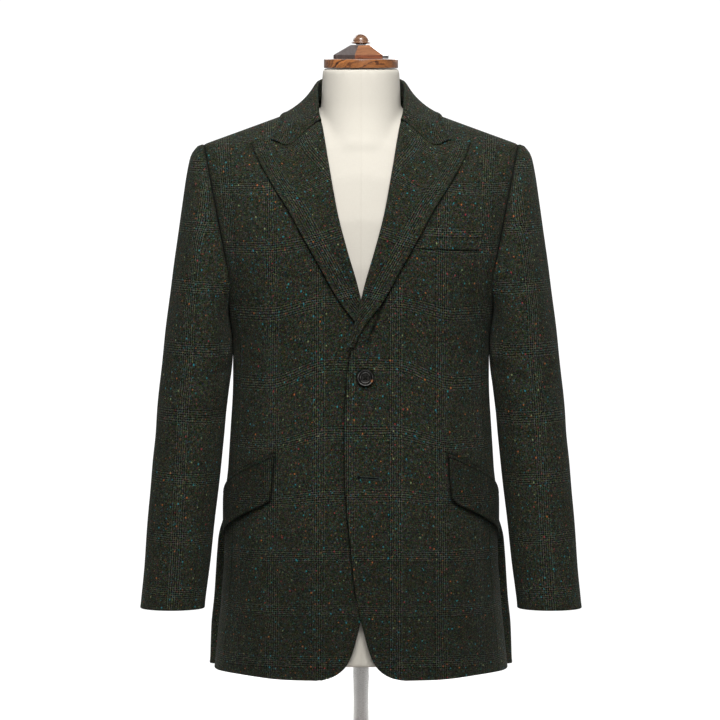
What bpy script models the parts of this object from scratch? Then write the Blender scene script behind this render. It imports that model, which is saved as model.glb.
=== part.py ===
"""A tweed hacking jacket on a limbless dress form, at its real size in metres, +Z up.

The front faces -Y and the wearer's left is +X. The origin is the bottom centre of the stand's base.
The single-breasted jacket has peak lapels, two buttons, slanted flapped pockets, a breast welt and
side vents. Sizes are in millimetres until a mesh is made. A torso surface is worked out from a short
table of rings; every cloth piece is a wall laid on it or on a tube of rings that starts at the armhole.
"""

import math
from collections import namedtuple

import bpy
import numpy as np
from mathutils import Matrix

MM = 0.001

# Cloth
WALL = 2.0  # made-up tweed: face cloth, canvas and lining
SEAM = 0.3  # gap between two pieces along a seam
LAY = 0.5  # gap under a piece that lies on another
ROUNDNESS = 2.35  # exponent of the rings, a little squarer than an ellipse

# Landmarks of the torso, heights above the floor
HEM_FRONT = 111.0
HEM_SIDE = 116.0
ARMPIT = 622.0
CHEST = 680.0
SHOULDER_TIP = 220.0  # from the centre to the armhole seam on the shoulder
TIP_HEIGHT = 849.0
SHOULDER_SLOPE = 0.3636
NECK_POINT = 66.0  # from the centre to where shoulder seam and neckline meet
NECK_BACK = 47.0  # depth of the back neckline behind the shoulder line

# One row for each level: height, half width of fronts and sides, half width of the backs, whose skirts
# kick out below the vents, and depth of front and back from the shoulder line.
Ring = namedtuple("Ring", "height half_front half_back front back")
RINGS = [
    Ring(105, 206, 213, 142, 146),
    Ring(170, 200.5, 211, 141, 145),
    Ring(210, 196.5, 207, 140, 142),
    Ring(265, 192.5, 203, 138, 137),
    Ring(305, 191, 199, 136, 131),
    Ring(356, 190.5, 190.5, 131, 122),
    Ring(400, 186, 186, 127, 114),
    Ring(460, 182, 182, 122, 106),
    Ring(530, 179, 179, 119, 102),
    Ring(567, 179, 179, 120, 104),
    Ring(622, 187, 187, 123, 109),
    Ring(650, 194, 195.6, 124.6, 111.9),
    Ring(680, 203, 207, 125.2, 112.7),
]

# One row for each point of the forepart's edge, from the round quarter to the break of the lapel.
# across is positive on the forepart's own side of the centre line.
Edge = namedtuple("Edge", "height across")
FRONT_EDGE = [
    Edge(111, 62),
    Edge(112.5, 50),
    Edge(116, 39),
    Edge(122, 29),
    Edge(131, 20.5),
    Edge(142, 14.5),
    Edge(160, 8.5),
    Edge(194, 0),
    Edge(235, -8),
    Edge(300, -15),
    Edge(383, -22),
    Edge(450, -23),
    Edge(530, -19.5),
    Edge(565, -14),
]
# The crease where the lapel turns back, from the break up to the neck point.
ROLL_LINE = [
    Edge(565, -14),
    Edge(605, -5),
    Edge(634, 3),
    Edge(660, 9.5),
    Edge(705, 22.5),
    Edge(757, 36),
    Edge(825, 48),
    Edge(868, 55),
    Edge(881, 58),
    Edge(893, 62),
    Edge(905, 66),
]
GORGE_HEIGHT = 881.0  # where the seam between lapel and collar meets the roll line
BREAK_HEIGHT = 565.0
# The free edge of the lapel, from the break to the tip of the peak.
LAPEL_EDGE = [
    Edge(565, -13),
    Edge(577, -8),
    Edge(601, 5),
    Edge(632, 28.5),
    Edge(683, 57),
    Edge(721, 78.5),
    Edge(760, 100),
    Edge(797, 123.5),
    Edge(838, 146),
    Edge(852, 150.5),
]
# The upper edge of the lapel: the gorge seam down to the notch, then the peak out to its tip.
Across = namedtuple("Across", "across height")
GORGE = [
    Across(58, 881),
    Across(71, 870),
    Across(80, 862.5),
    Across(91, 853.5),
    Across(102, 847.5),
    Across(116, 848.5),
    Across(128, 850.5),
    Across(139, 852),
    Across(150.5, 852),
]
NOTCH_ACROSS = 102.0

# The side seams as ring angles: 0 is the middle of the front or of the back and 90 is the side.
FRONT_SEAM = 68.0
BACK_SEAM = 82.0

# Rows of the body panels. Heights run from the hem to the chest, rises from the chest to the shoulder.
HEIGHTS = [111, 113, 117, 124, 135, 153, 185, 225, 270, 315]
VENT_HEIGHTS = [334, 344, 352]
UPPER_HEIGHTS = [368, 410, 455, 505, 550, 590, 625]
ARMHOLE_HEIGHTS = [640, 667, 680]
RISES = [0.18, 0.36, 0.54, 0.7, 0.83, 0.93, 1.0]
VENT_TOP = 352.0
VENT_LAP = 18.0  # how far the back skirt runs under the side body
VENT_TUCK = WALL + 1.2  # how far inside the side body it lies
VENT_TURN = 74.0  # angle at which it turns in to go there
VENT_KICK = 5.5  # how far it stands out beyond its ring just behind the vent

# The right forepart lies this far inside the left one where they lap: height, depth.
Lap = namedtuple("Lap", "height depth")
LAP_DEPTHS = [Lap(105, 3.4), Lap(200, 3.4), Lap(300, 6.8), Lap(640, 6.8), Lap(700, 0.0)]
LAP_HALF = 27.0
LAP_EASE = 30.0


def smooth(rows, column, at, key=0):
    """Value of one column of a table at a place between its rows, on a curve that never overshoots."""
    xs = [row[key] for row in rows]
    ys = [getattr(row, column) for row in rows]
    if at <= xs[0]:
        return float(ys[0])
    if at >= xs[-1]:
        return float(ys[-1])
    i = max(j for j in range(len(xs) - 1) if xs[j] <= at)
    slopes = [(ys[j + 1] - ys[j]) / (xs[j + 1] - xs[j]) for j in range(len(xs) - 1)]

    def tangent(j):
        if j in (0, len(xs) - 1):
            return slopes[0] if j == 0 else slopes[-1]
        a, b = slopes[j - 1], slopes[j]
        return 2 * a * b / (a + b) if a * b > 0 else 0.0

    width = xs[i + 1] - xs[i]
    t = (at - xs[i]) / width
    return float(
        ys[i] * (1 + 2 * t) * (1 - t) ** 2
        + ys[i + 1] * t * t * (3 - 2 * t)
        + width * (tangent(i) * t * (1 - t) ** 2 - tangent(i + 1) * t * t * (1 - t))
    )


def ease(t):
    t = min(max(t, 0.0), 1.0)
    return t * t * (3 - 2 * t)


def unit(v):
    v = np.asarray(v, float)
    return v / np.linalg.norm(v)


# ---------------------------------------------------------------- the torso surface

Face = namedtuple("Face", "sign half depth armhole fullness")
FRONT = Face(-1, "half_front", "front", 186.5, 1.08)
BACK = Face(1, "half_back", "back", 190.0, 0.84)
SIDE_BACK = Face(1, "half_front", "back", 190.0, 0.84)  # the rear part of the side body


def signed_power(value, power):
    return math.copysign(abs(value) ** power, value)


def ridge_height(across):
    return TIP_HEIGHT + (SHOULDER_TIP - abs(across)) * SHOULDER_SLOPE


def widening(face, climb):
    """How much wider a column stands at this share of the way from chest to shoulder."""
    return 1 + (SHOULDER_TIP / face.armhole - 1) * climb


def torso(face, angle, height, rise=0.0, inside=0.0, below=0.0):
    """Point of the jacket's outer surface. angle runs round a ring, height up to the chest, and rise
    from 0 at the chest to 1 on the shoulder line. inside and below shrink it for the form."""
    power = 2 / ROUNDNESS
    half = smooth(RINGS, face.half, height) - inside
    depth = smooth(RINGS, face.depth, height) - inside
    across = half * signed_power(math.sin(math.radians(angle)), power)
    out = face.sign * depth * signed_power(math.cos(math.radians(angle)), power)
    if rise == 0:
        return np.array([across, out, height])
    turn = math.radians(90 * rise)
    climb = math.sin(turn)
    ridge = ridge_height(across * SHOULDER_TIP / face.armhole) - below
    return np.array(
        [
            across * widening(face, climb),
            out * signed_power(math.cos(turn), face.fullness),
            CHEST + (ridge - CHEST) * climb,
        ]
    )


def skin(face, angle, height, rise=0.0):
    """(point, outward normal) of the torso surface."""
    turn, lift, climb = 0.4, 0.6, 0.008
    along = torso(face, angle + turn, height, rise) - torso(face, angle - turn, height, rise)
    if rise == 0:
        up = torso(face, angle, height + lift) - torso(face, angle, height - lift)
    else:
        up = torso(face, angle, height, rise + climb) - torso(face, angle, height, max(rise - climb, 1e-6))
    normal = unit(np.cross(along, up))
    return torso(face, angle, height, rise), normal if face.sign < 0 else -normal


def ring_angle(face, across, height):
    share = across / smooth(RINGS, face.half, height)
    share = min(max(share, -1.0), 1.0)
    return math.degrees(math.asin(signed_power(share, ROUNDNESS / 2)))


def edge_angle(face, edge, height, rise):
    """Angle at which a row meets an edge that gives its distance across for each height."""
    at = height
    for _ in range(12):
        climb = math.sin(math.radians(90 * rise))
        angle = ring_angle(face, edge(at) / widening(face, climb), height)
        at = torso(face, angle, height, rise)[2]
    return angle


def place_on(face, across, height):
    """(angle, height, rise) of the surface point that lies at this place across and up."""
    if height <= CHEST:
        return ring_angle(face, across, height), height, 0.0
    climb = 0.5
    for _ in range(20):
        column = across / widening(face, climb)
        ridge = ridge_height(column * SHOULDER_TIP / face.armhole)
        climb = min((height - CHEST) / (ridge - CHEST), 1.0)
    rise = math.degrees(math.asin(climb)) / 90
    return ring_angle(face, column, CHEST), CHEST, rise


def on_face(face, across, height):
    return skin(face, *place_on(face, across, height))


# The armhole: above the chest it is the outermost column, below it a quarter turn down to the armpit.


def armhole_angle(face):
    return ring_angle(face, face.armhole, CHEST)


def armhole_depth(face):
    return abs(torso(face, armhole_angle(face), CHEST)[1])


def armhole_angle_at(face, height):
    """Ring angle of the armhole's lower curve at a height between armpit and chest."""
    beta = math.asin(min((CHEST - height) / (CHEST - ARMPIT), 1.0))
    out = armhole_depth(face) * math.cos(beta) / smooth(RINGS, face.depth, height)
    return math.degrees(math.acos(out ** (ROUNDNESS / 2)))


def armhole_height_at(face, angle):
    """Height of the armhole's lower curve at a ring angle."""
    low, high = ARMPIT, CHEST
    for _ in range(30):
        middle = (low + high) / 2
        if armhole_angle_at(face, middle) > angle:
            low = middle
        else:
            high = middle
    return middle


def armhole_point(face, height):
    """(point, normal) of the armhole seam at a height between armpit and shoulder tip."""
    if height <= CHEST:
        return skin(face, armhole_angle_at(face, height), height)
    climb = min((height - CHEST) / (TIP_HEIGHT - CHEST), 1.0)
    return skin(face, armhole_angle(face), CHEST, math.degrees(math.asin(climb)) / 90)


# ---------------------------------------------------------------- meshes


def new_object(name, points, faces, material, flat=False):
    mesh = bpy.data.meshes.new(name)
    mesh.from_pydata([tuple(float(v) * MM for v in p) for p in points], [], faces)
    mesh.validate()
    mesh.materials.append(material)
    if not flat:
        mesh.shade_smooth()
        mesh.set_sharp_from_angle(angle=math.radians(40))
    made = bpy.data.objects.new(name, mesh)
    bpy.context.scene.collection.objects.link(made)
    return made


def volume_of(points, faces):
    p = np.asarray(points, float)
    total = 0.0
    for face in faces:
        for a, b in zip(face[1:-1], face[2:]):
            total += float(np.dot(p[face[0]], np.cross(p[a], p[b])))
    return total / 6


def grid_faces(rows, columns, start=0, flip=False):
    faces = []
    for i in range(rows - 1):
        for j in range(columns - 1):
            a = start + i * columns + j
            face = (a, a + 1, a + columns + 1, a + columns)
            faces.append(face[::-1] if flip else face)
    return faces


def wall(name, outer, inner, material):
    """Closed wall between two grids of points that have the same rows and columns."""
    outer, inner = np.asarray(outer, float), np.asarray(inner, float)
    rows, columns = outer.shape[:2]
    points = np.vstack([outer.reshape(-1, 3), inner.reshape(-1, 3)])
    count = rows * columns
    faces = grid_faces(rows, columns) + grid_faces(rows, columns, count, flip=True)
    rim = [j for j in range(columns)]
    rim += [i * columns + columns - 1 for i in range(1, rows)]
    rim += [(rows - 1) * columns + j for j in range(columns - 2, -1, -1)]
    rim += [i * columns for i in range(rows - 2, 0, -1)]
    for a, b in zip(rim, rim[1:] + rim[:1]):
        faces.append((b, a, a + count, b + count))
    if volume_of(points, faces) < 0:
        faces = [face[::-1] for face in faces]
    return new_object(name, points, faces, material)


def mirrored(grid):
    return np.asarray(grid, float) * np.array([-1.0, 1.0, 1.0])


def turned(name, profile, material, sides=32, centre=(0.0, 0.0)):
    """Solid of revolution about a vertical axis. profile lists (radius, height) from bottom to top."""
    points, faces = [], []
    for radius, height in profile:
        for k in range(sides):
            angle = 2 * math.pi * k / sides
            across, out = radius * math.cos(angle), radius * math.sin(angle)
            points.append((centre[0] + across, centre[1] + out, height))
    for i in range(len(profile) - 1):
        for k in range(sides):
            a, b = i * sides + k, i * sides + (k + 1) % sides
            faces.append((a, b, b + sides, a + sides))
    faces.append(tuple(range(sides))[::-1])
    faces.append(tuple(len(points) - sides + k for k in range(sides)))
    return new_object(name, points, faces, material)


def plain_material(name, colour, roughness, metallic=0.0):
    material = bpy.data.materials.new(name)
    material.use_nodes = True
    shader = material.node_tree.nodes["Principled BSDF"]
    shader.inputs["Base Color"].default_value = (*colour, 1.0)
    shader.inputs["Roughness"].default_value = roughness
    shader.inputs["Metallic"].default_value = metallic
    return material


# ---------------------------------------------------------------- body panels


def hem_height(across):
    return HEM_FRONT + (HEM_SIDE - HEM_FRONT) * ease((abs(across) - 100) / 90)


def front_edge_across(height):
    if height < BREAK_HEIGHT:
        return smooth(FRONT_EDGE, "across", height)
    return smooth(ROLL_LINE, "across", height)


def lap_inset(across, height):
    """Depth of the right forepart inside the left one, eased in before the lap begins."""
    depth = smooth(LAP_DEPTHS, "depth", height)
    return depth * ease((LAP_HALF + LAP_EASE - across) / LAP_EASE)


def raised_hem(point, rows_above):
    """Levels a panel's lowest rows on the hem line."""
    lift = hem_height(point[0]) - HEM_FRONT
    return point + np.array([0.0, 0.0, lift * max(0.0, 1 - rows_above / 40)])


def forepart(name, material, mirror, lapped):
    columns = 13
    outer, inner = [], []
    junction = armhole_height_at(FRONT, FRONT_SEAM)
    heights = sorted(HEIGHTS + [352] + UPPER_HEIGHTS + ARMHOLE_HEIGHTS + [round(junction, 1)])
    rows = [(float(height), 0.0) for height in heights] + [(CHEST, rise) for rise in RISES]
    for height, rise in rows:
        start = edge_angle(FRONT, front_edge_across, height, rise)
        if rise > 0 or height >= CHEST:
            end = armhole_angle(FRONT)
        elif height > junction:
            end = armhole_angle_at(FRONT, height)
        else:
            end = FRONT_SEAM
        end -= 0.1
        outer.append([])
        inner.append([])
        for j in range(columns):
            angle = start + (end - start) * j / (columns - 1)
            point, normal = skin(FRONT, angle, height, rise)
            if rise == 1:
                point = point + np.array([0.0, -SEAM / 2, 0.0])
            point = raised_hem(point, height - HEM_FRONT)
            inset = lap_inset(point[0], point[2]) if lapped else 0.0
            outer[-1].append(point - normal * inset)
            inner[-1].append(point - normal * (inset + WALL))
    if mirror:
        outer, inner = mirrored(outer), mirrored(inner)
    return wall(name, outer, inner, material)


def side_body(name, material, mirror):
    columns = [(FRONT, FRONT_SEAM + 0.16), (FRONT, 74.0), (FRONT, 81.0), (FRONT, 90.0)]
    columns += [(SIDE_BACK, 86.0), (SIDE_BACK, BACK_SEAM + 0.1)]
    steps = 15
    outer, inner = [], []
    for i in range(steps):
        outer.append([])
        inner.append([])
        for face, angle in columns:
            top = armhole_height_at(face, angle) - SEAM
            height = HEM_FRONT + (top - HEM_FRONT) * i / (steps - 1)
            point, normal = skin(face, angle, height)
            point = raised_hem(point, height - HEM_FRONT)
            outer[-1].append(point)
            inner[-1].append(point - normal * WALL)
    if mirror:
        outer, inner = mirrored(outer), mirrored(inner)
    return wall(name, outer, inner, material)


def neckline_rise(angle):
    """Share of the way up to the shoulder line at which a column of the back meets the neckline."""
    column = torso(BACK, angle, CHEST)
    across = column[0] * SHOULDER_TIP / BACK.armhole
    if across >= NECK_POINT:
        return 1.0
    out = NECK_BACK * math.sqrt(1 - (across / NECK_POINT) ** 2)
    return math.degrees(math.acos((out / column[1]) ** (1 / BACK.fullness))) / 90


def back_panel(name, material, mirror):
    columns = 11
    junction = armhole_height_at(SIDE_BACK, BACK_SEAM)
    heights = [height for height in HEIGHTS if height not in (113, 124)]
    heights = sorted(heights + VENT_HEIGHTS + UPPER_HEIGHTS[:-1] + ARMHOLE_HEIGHTS + [round(junction, 1)])
    rows = [(float(height), 0.0) for height in heights] + [(CHEST, rise) for rise in RISES]
    outer, inner = [], []
    for height, rise in rows:
        if rise > 0 or height >= CHEST:
            end = armhole_angle(BACK)
        elif height > junction:
            end = armhole_angle_at(BACK, height)
        else:
            end = BACK_SEAM
        start = ring_angle(BACK, SEAM / 2, height)
        below_vent = VENT_TOP - height
        tuck = ease(below_vent / 8) if rise == 0 else 0.0
        lap = ease((below_vent - 8) / 10) if rise == 0 else 0.0
        end += lap * math.degrees(VENT_LAP / 200)
        outer.append([])
        inner.append([])
        for j in range(columns):
            share = 1 - (1 - j / (columns - 1)) ** 1.25
            angle = start + (end - start) * share
            point, normal = skin(BACK, angle, height, rise * neckline_rise(angle))
            if rise == 1:
                point = point + np.array([0.0, SEAM / 2, 0.0])
            point = raised_hem(point, height - HEM_FRONT)
            flare = smooth(RINGS, "half_back", height) - smooth(RINGS, "half_front", height)
            tucked = tuck * (flare + VENT_TUCK) * ease((angle - VENT_TURN) / 8)
            kick = ease((angle - VENT_TURN + 20) / 20) * (1 - ease((angle - VENT_TURN) / 8))
            tucked -= VENT_KICK * ease(below_vent / 60) * kick
            point = point - np.array([tucked, 0.0, 0.0])
            outer[-1].append(point)
            inner[-1].append(point - normal * WALL)
    if mirror:
        outer, inner = mirrored(outer), mirrored(inner)
    return wall(name, outer, inner, material)


# ---------------------------------------------------------------- sleeves

# One row for each ring of the sleeve: where it meets the outer and the inner outline, its half depth
# and how far forward its centre hangs. The first is the armhole.
SleeveRing = namedtuple(
    "SleeveRing", "outer outer_height inner inner_height half_depth forward armhole_share"
)
SLEEVE_RINGS = [
    SleeveRing(221.0, 849.2, 188.2, 622.6, 59, 2, 1.0),
    SleeveRing(230.0, 845.3, 188.3, 618.0, 62, 1, 0.85),
    SleeveRing(239.0, 834.0, 187.2, 611.5, 64, 0, 0.6),
    SleeveRing(244.5, 808.0, 185.6, 602.5, 65.5, -1, 0.35),
    SleeveRing(249.5, 768.0, 183.8, 591.5, 66, -3, 0.15),
    SleeveRing(256.0, 722.0, 181.9, 578.5, 66, -5, 0.0),
    SleeveRing(263.0, 672.0, 180.4, 562.0, 65, -7, 0.0),
    SleeveRing(270.0, 617.0, 180.4, 538.0, 63, -9, 0.0),
    SleeveRing(277.0, 556.0, 184.2, 506.0, 61, -11, 0.0),
    SleeveRing(284.5, 484.0, 190.0, 456.0, 59, -14, 0.0),
    SleeveRing(291.0, 410.0, 195.5, 397.0, 56, -19, 0.0),
    SleeveRing(297.5, 332.0, 203.5, 330.0, 52.5, -26, 0.0),
    SleeveRing(303.0, 262.0, 211.0, 262.0, 49.5, -34, 0.0),
    SleeveRing(308.0, 203.0, 218.5, 203.0, 47.5, -41, 0.0),
]
SLEEVE_GAP = 0.7  # how far the sleeve's first ring stands off the armhole
FORE_ARM_SEAM = 128.0  # turn of the front sleeve seam, from the outer line through the front
HIND_ARM_SEAM = 245.0


def sleeve_ellipse(ring, turn):
    across = (ring.outer + ring.inner) / 2
    height = (ring.outer_height + ring.inner_height) / 2
    reach = math.cos(math.radians(turn))
    return np.array(
        [
            across + (ring.outer - ring.inner) / 2 * reach,
            ring.forward - ring.half_depth * math.sin(math.radians(turn)),
            height + (ring.outer_height - ring.inner_height) / 2 * reach,
        ]
    )


def sleeve_point(index, turn):
    ring = SLEEVE_RINGS[index]
    point = sleeve_ellipse(ring, turn)
    if ring.armhole_share:
        first = sleeve_ellipse(SLEEVE_RINGS[0], turn)
        face = FRONT if math.sin(math.radians(turn)) >= 0 else BACK
        height = min(max(first[2], ARMPIT), TIP_HEIGHT)
        seam, normal = armhole_point(face, height)
        seam = seam + np.array([SLEEVE_GAP, 0.0, 0.0]) * (1.6 if height < CHEST else 1.0)
        point = point + ring.armhole_share * (seam - first)
    return point


def sleeve_grid(turns):
    points = np.array([[sleeve_point(i, turn) for turn in turns] for i in range(len(SLEEVE_RINGS))])
    normals = np.zeros_like(points)
    for i in range(len(SLEEVE_RINGS)):
        for j, turn in enumerate(turns):
            along = sleeve_point(i, turn + 1) - sleeve_point(i, turn - 1)
            low, high = max(i - 1, 0), min(i + 1, len(SLEEVE_RINGS) - 1)
            down = sleeve_point(high, turn) - sleeve_point(low, turn)
            normals[i, j] = unit(np.cross(down, along))
    return points, normals


def sleeve(name, material, mirror, start, end, columns):
    gap = 0.18  # degrees, half the seam's gap
    turns = [start + gap + (end - start - 2 * gap) * j / (columns - 1) for j in range(columns)]
    outer, normals = sleeve_grid(turns)
    axis = outer.mean(axis=1, keepdims=True)
    if ((outer - axis) * normals).sum() < 0:
        normals = -normals
    inner = outer - normals * WALL
    if mirror:
        outer, inner = mirrored(outer), mirrored(inner)
    return wall(name, outer, inner, material)


# ---------------------------------------------------------------- pieces that lie on the panels

ROLL_RADIUS = 2.0  # of the middle of the cloth where lapel and collar fold
LAPEL_LIFT = 2.1  # gap under the lapel's free edge
LAPEL_ROWS = 17
LAPEL_COLUMNS = [0.05, 0.16, 0.3, 0.45, 0.6, 0.75, 0.89, 1.0]


def lapel_path(t, s):
    """(across, height) of the lapel: t from the break to the gorge, s from the roll line to the edge."""
    roll_height = BREAK_HEIGHT + 6 + (GORGE_HEIGHT - BREAK_HEIGHT - 6) * t
    edge_height = BREAK_HEIGHT + 6 + (LAPEL_EDGE[-1].height - BREAK_HEIGHT - 6) * t
    start = np.array([smooth(ROLL_LINE, "across", roll_height), roll_height])
    end = np.array([smooth(LAPEL_EDGE, "across", edge_height), edge_height])
    straight = start + (end - start) * s
    first, last = GORGE[0], GORGE[-1]
    across = first.across + (last.across - first.across) * s
    chord = first.height + (last.height - first.height) * s
    bend = smooth(GORGE, "height", across) - chord
    near_top = ease((t - 0.62) / 0.38) if t < 1 else 1.0
    return straight + np.array([0.0, (bend - SEAM / 2) * near_top])


def lapel(name, material, mirror, lapped):
    outer, inner = [], []
    for i in range(LAPEL_ROWS):
        t = i / (LAPEL_ROWS - 1)
        across, height = lapel_path(t, 0.0)
        point, normal = on_face(FRONT, across, height)
        next_across, next_height = lapel_path(t, 0.1)
        ahead, _ = on_face(FRONT, next_across, next_height)
        back = -unit(ahead - point)
        inset = lap_inset(across, height) if lapped else 0.0
        point = point - normal * inset
        centre = point + back * 0.9 + normal * (ROLL_RADIUS - WALL / 2)
        mids, outs = [], []
        for turn in (0, 60, 120, 180):
            angle = math.radians(turn)
            out = back * math.sin(angle) - normal * math.cos(angle)
            mids.append(centre + out * ROLL_RADIUS)
            outs.append(out)
        for s in LAPEL_COLUMNS:
            place, normal = on_face(FRONT, *lapel_path(t, s))
            inset = lap_inset(place[0], place[2]) if lapped else 0.0
            settle = ROLL_RADIUS * (1 - ease(s / 0.35)) + (LAPEL_LIFT - LAY) * ease((s - 0.45) / 0.5)
            mids.append(place + normal * (settle + LAY + WALL / 2 - inset))
            outs.append(normal)
        outer.append([mid + out * WALL / 2 for mid, out in zip(mids, outs)])
        inner.append([mid - out * WALL / 2 for mid, out in zip(mids, outs)])
    if mirror:
        outer, inner = mirrored(outer), mirrored(inner)
    return wall(name, outer, inner, material)


# One row for each station of half the collar, from the centre back to the gorge: where the stand meets
# the neckline, where it folds over, and where the free edge lies on the body. facing is how much the
# fold turns with the front's surface instead of standing up round the neck.
Station = namedtuple("Station", "seam fold edge_face edge_across edge_height facing")
COLLAR = [
    Station((0, 47, 917), (0, 57, 944.5), BACK, 0, 893, 0.0),
    Station((25, 44, 916.5), (24, 54.5, 944), BACK, 33, 892, 0.0),
    Station((45, 34, 914), (45, 44, 942), BACK, 64, 890, 0.0),
    Station((60, 17, 910), (58.5, 25, 937), BACK, 96, 887.5, 0.0),
    Station((66.5, 1, 907), (62.5, 5, 931), FRONT, 110, 888, 0.0),
    Station((65, -15, 903), (62, -16, 922.5), FRONT, 114, 879.5, 0.2),
    Station((62.5, -33, 897), (60.5, -36, 909), FRONT, 117, 870.5, 0.45),
    Station((60.5, -48, 890), (58.8, -54, 895.5), FRONT, 120, 862, 0.75),
    Station((58, -60.5, 883.2), (55.2, -62.5, 883.2), FRONT, 124.5, 855.5, 1.0),
]
GORGE_GAP = 0.8
COLLAR_LIFT = 1.0
COLLAR_STEPS = 2  # rows for each gap between two stations
FALL_SHARES = [0.14, 0.3, 0.48, 0.66, 0.84, 1.0]


def clear_of_body(point, gap):
    """The point, moved out from the shoulder's axis until it stands this far off the body."""
    across, out, height = abs(point[0]), point[1], point[2]
    face = FRONT if out < 0 else BACK
    if height < CHEST:
        return point
    column = across / widening(face, min((height - CHEST) / (TIP_HEIGHT - CHEST), 1.0))
    angle = ring_angle(face, column, CHEST)
    depth = max(abs(torso(face, angle, CHEST)[1]), 1.0)
    reach = ridge_height(across) - CHEST
    turn = math.atan2((height - CHEST) / reach, (abs(out) / depth) ** (1 / face.fullness))
    surface = np.array([abs(depth * math.cos(turn) ** face.fullness), reach * math.sin(turn)])
    place = np.array([abs(out), height - CHEST])
    length = np.linalg.norm(surface) + gap
    if np.linalg.norm(place) < length:
        place = place * length / np.linalg.norm(place)
    return np.array([point[0], math.copysign(place[0], out), CHEST + place[1]])


def collar_row(station):
    """Middle line of the collar's wall at a station, from the neckline over the fold to the edge."""
    seam, fold = np.array(station.seam, float), np.array(station.fold, float)
    edge, edge_normal = on_face(station.edge_face, station.edge_across, station.edge_height)
    edge = edge + edge_normal * (LAY + WALL / 2 + COLLAR_LIFT)
    stand = unit(fold - seam)
    fall = edge - fold
    upright = unit(fall - stand * np.dot(fall, stand))
    _, body = on_face(FRONT, 58, GORGE_HEIGHT)
    out = unit(upright * (1 - station.facing) + body * station.facing)
    stand = unit(stand - out * np.dot(stand, out))
    centre = fold - stand * ROLL_RADIUS
    row = [seam + stand * SEAM, centre - out * ROLL_RADIUS]
    if station.facing < 0.7:
        row.insert(1, (row[0] + row[1]) / 2 - out * 0.5)
    else:
        row.insert(1, (row[0] + row[1]) / 2)
    row += [centre + (stand - out) * ROLL_RADIUS * 0.707, centre + stand * ROLL_RADIUS]
    row += [centre + (stand + out) * ROLL_RADIUS * 0.707]
    start = centre + out * ROLL_RADIUS
    row.append(start)
    control = start + (edge - start) * 0.35 + np.array([0.0, 0.0, -12.0]) * (1 - station.facing)
    for share in FALL_SHARES:
        place = start * (1 - share) ** 2 + control * 2 * share * (1 - share) + edge * share**2
        row.append(place)
    return row


def collar_rows():
    """Rows of half the collar. Between the stations they follow smooth curves."""
    stations = [np.array(collar_row(station)) for station in COLLAR]
    rows = []
    for k in range(len(stations) - 1):
        before = stations[k - 1] if k else mirrored(stations[1])
        after = stations[min(k + 2, len(stations) - 1)]
        a, b = stations[k], stations[k + 1]
        for step in range(COLLAR_STEPS):
            t = step / COLLAR_STEPS
            rows.append(
                0.5
                * (
                    2 * a
                    + (b - before) * t
                    + (2 * before - 5 * a + 4 * b - after) * t**2
                    + (3 * a - before - 3 * b + after) * t**3
                )
            )
    rows.append(stations[-1])
    return rows


def collar_front_row(row):
    """The collar's last row: the gorge seam from the fold to the notch, then its short free end."""
    fall = len(FALL_SHARES)
    head = [place for place in row[:-fall]]
    start = head[-1]
    end = row[-1]
    for share in FALL_SHARES:
        across = start[0] + (end[0] - start[0]) * share
        if across < NOTCH_ACROSS:
            height = smooth(GORGE, "height", across)
        else:
            beyond = (across - NOTCH_ACROSS) / (end[0] - NOTCH_ACROSS)
            height = smooth(GORGE, "height", NOTCH_ACROSS) * (1 - beyond) + COLLAR[-1].edge_height * beyond
        place, normal = on_face(FRONT, across, height + GORGE_GAP)
        head.append(place + normal * (LAY + WALL / 2 + ROLL_RADIUS * (1 - ease(share / 0.5)) + COLLAR_LIFT))
    return head


def collar(name, material):
    half = [np.array(row) for row in collar_rows()]
    shift = np.array(collar_front_row(half[-1])) - half[-1]
    half[-1] = half[-1] + shift
    half[-2] = half[-2] + shift / 2
    head = len(half[0]) - len(FALL_SHARES)
    for row in half:
        for j in range(head, len(row)):
            row[j] = clear_of_body(row[j], LAY + WALL / 2 + 0.6)
    rows = [mirrored(row) for row in half[:0:-1]] + half
    middle = np.array(rows)
    along = np.gradient(middle, axis=0)
    across = np.gradient(middle, axis=1)
    normals = np.cross(along, across)
    normals /= np.linalg.norm(normals, axis=2, keepdims=True)
    return wall(name, middle + normals * WALL / 2, middle - normals * WALL / 2, material)


# Slanted pocket: where its front upper corner lies, the drop of its line for each unit of run, and the
# depth of the flap.
POCKET_FRONT = 120.0
POCKET_HEIGHT = 418.0
POCKET_SLOPE = 0.42
POCKET_LENGTH = 143.0
FLAP_DEPTH = 62.0
FLAP_LEAN = 5.0  # the front edge runs this far outwards on its way down
POCKET_LAY = 0.9  # gap under both, which lie over the side seam too
# top and bottom are below the pocket's line, corner is how much the lower corners are rounded off.
Strip = namedtuple("Strip", "top bottom wall columns rows corner")
FLAP = Strip(SEAM, FLAP_DEPTH, 2.4, 12, 6, 5.0)
JET = Strip(-5.0, 0.0, 1.4, 14, 2, 0.0)


def round_the_side(start_across, height, run):
    """(face, angle) after a run round the ring at this height."""
    angle = ring_angle(FRONT, start_across, height)
    place = torso(FRONT, angle, height)
    face = FRONT
    while run > 0:
        angle += 0.25 if face is FRONT else -0.25
        if angle >= 90:
            face = SIDE_BACK
        step = torso(face, angle, height)
        run -= np.linalg.norm(step - place)
        place = step
    return face, angle


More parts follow.
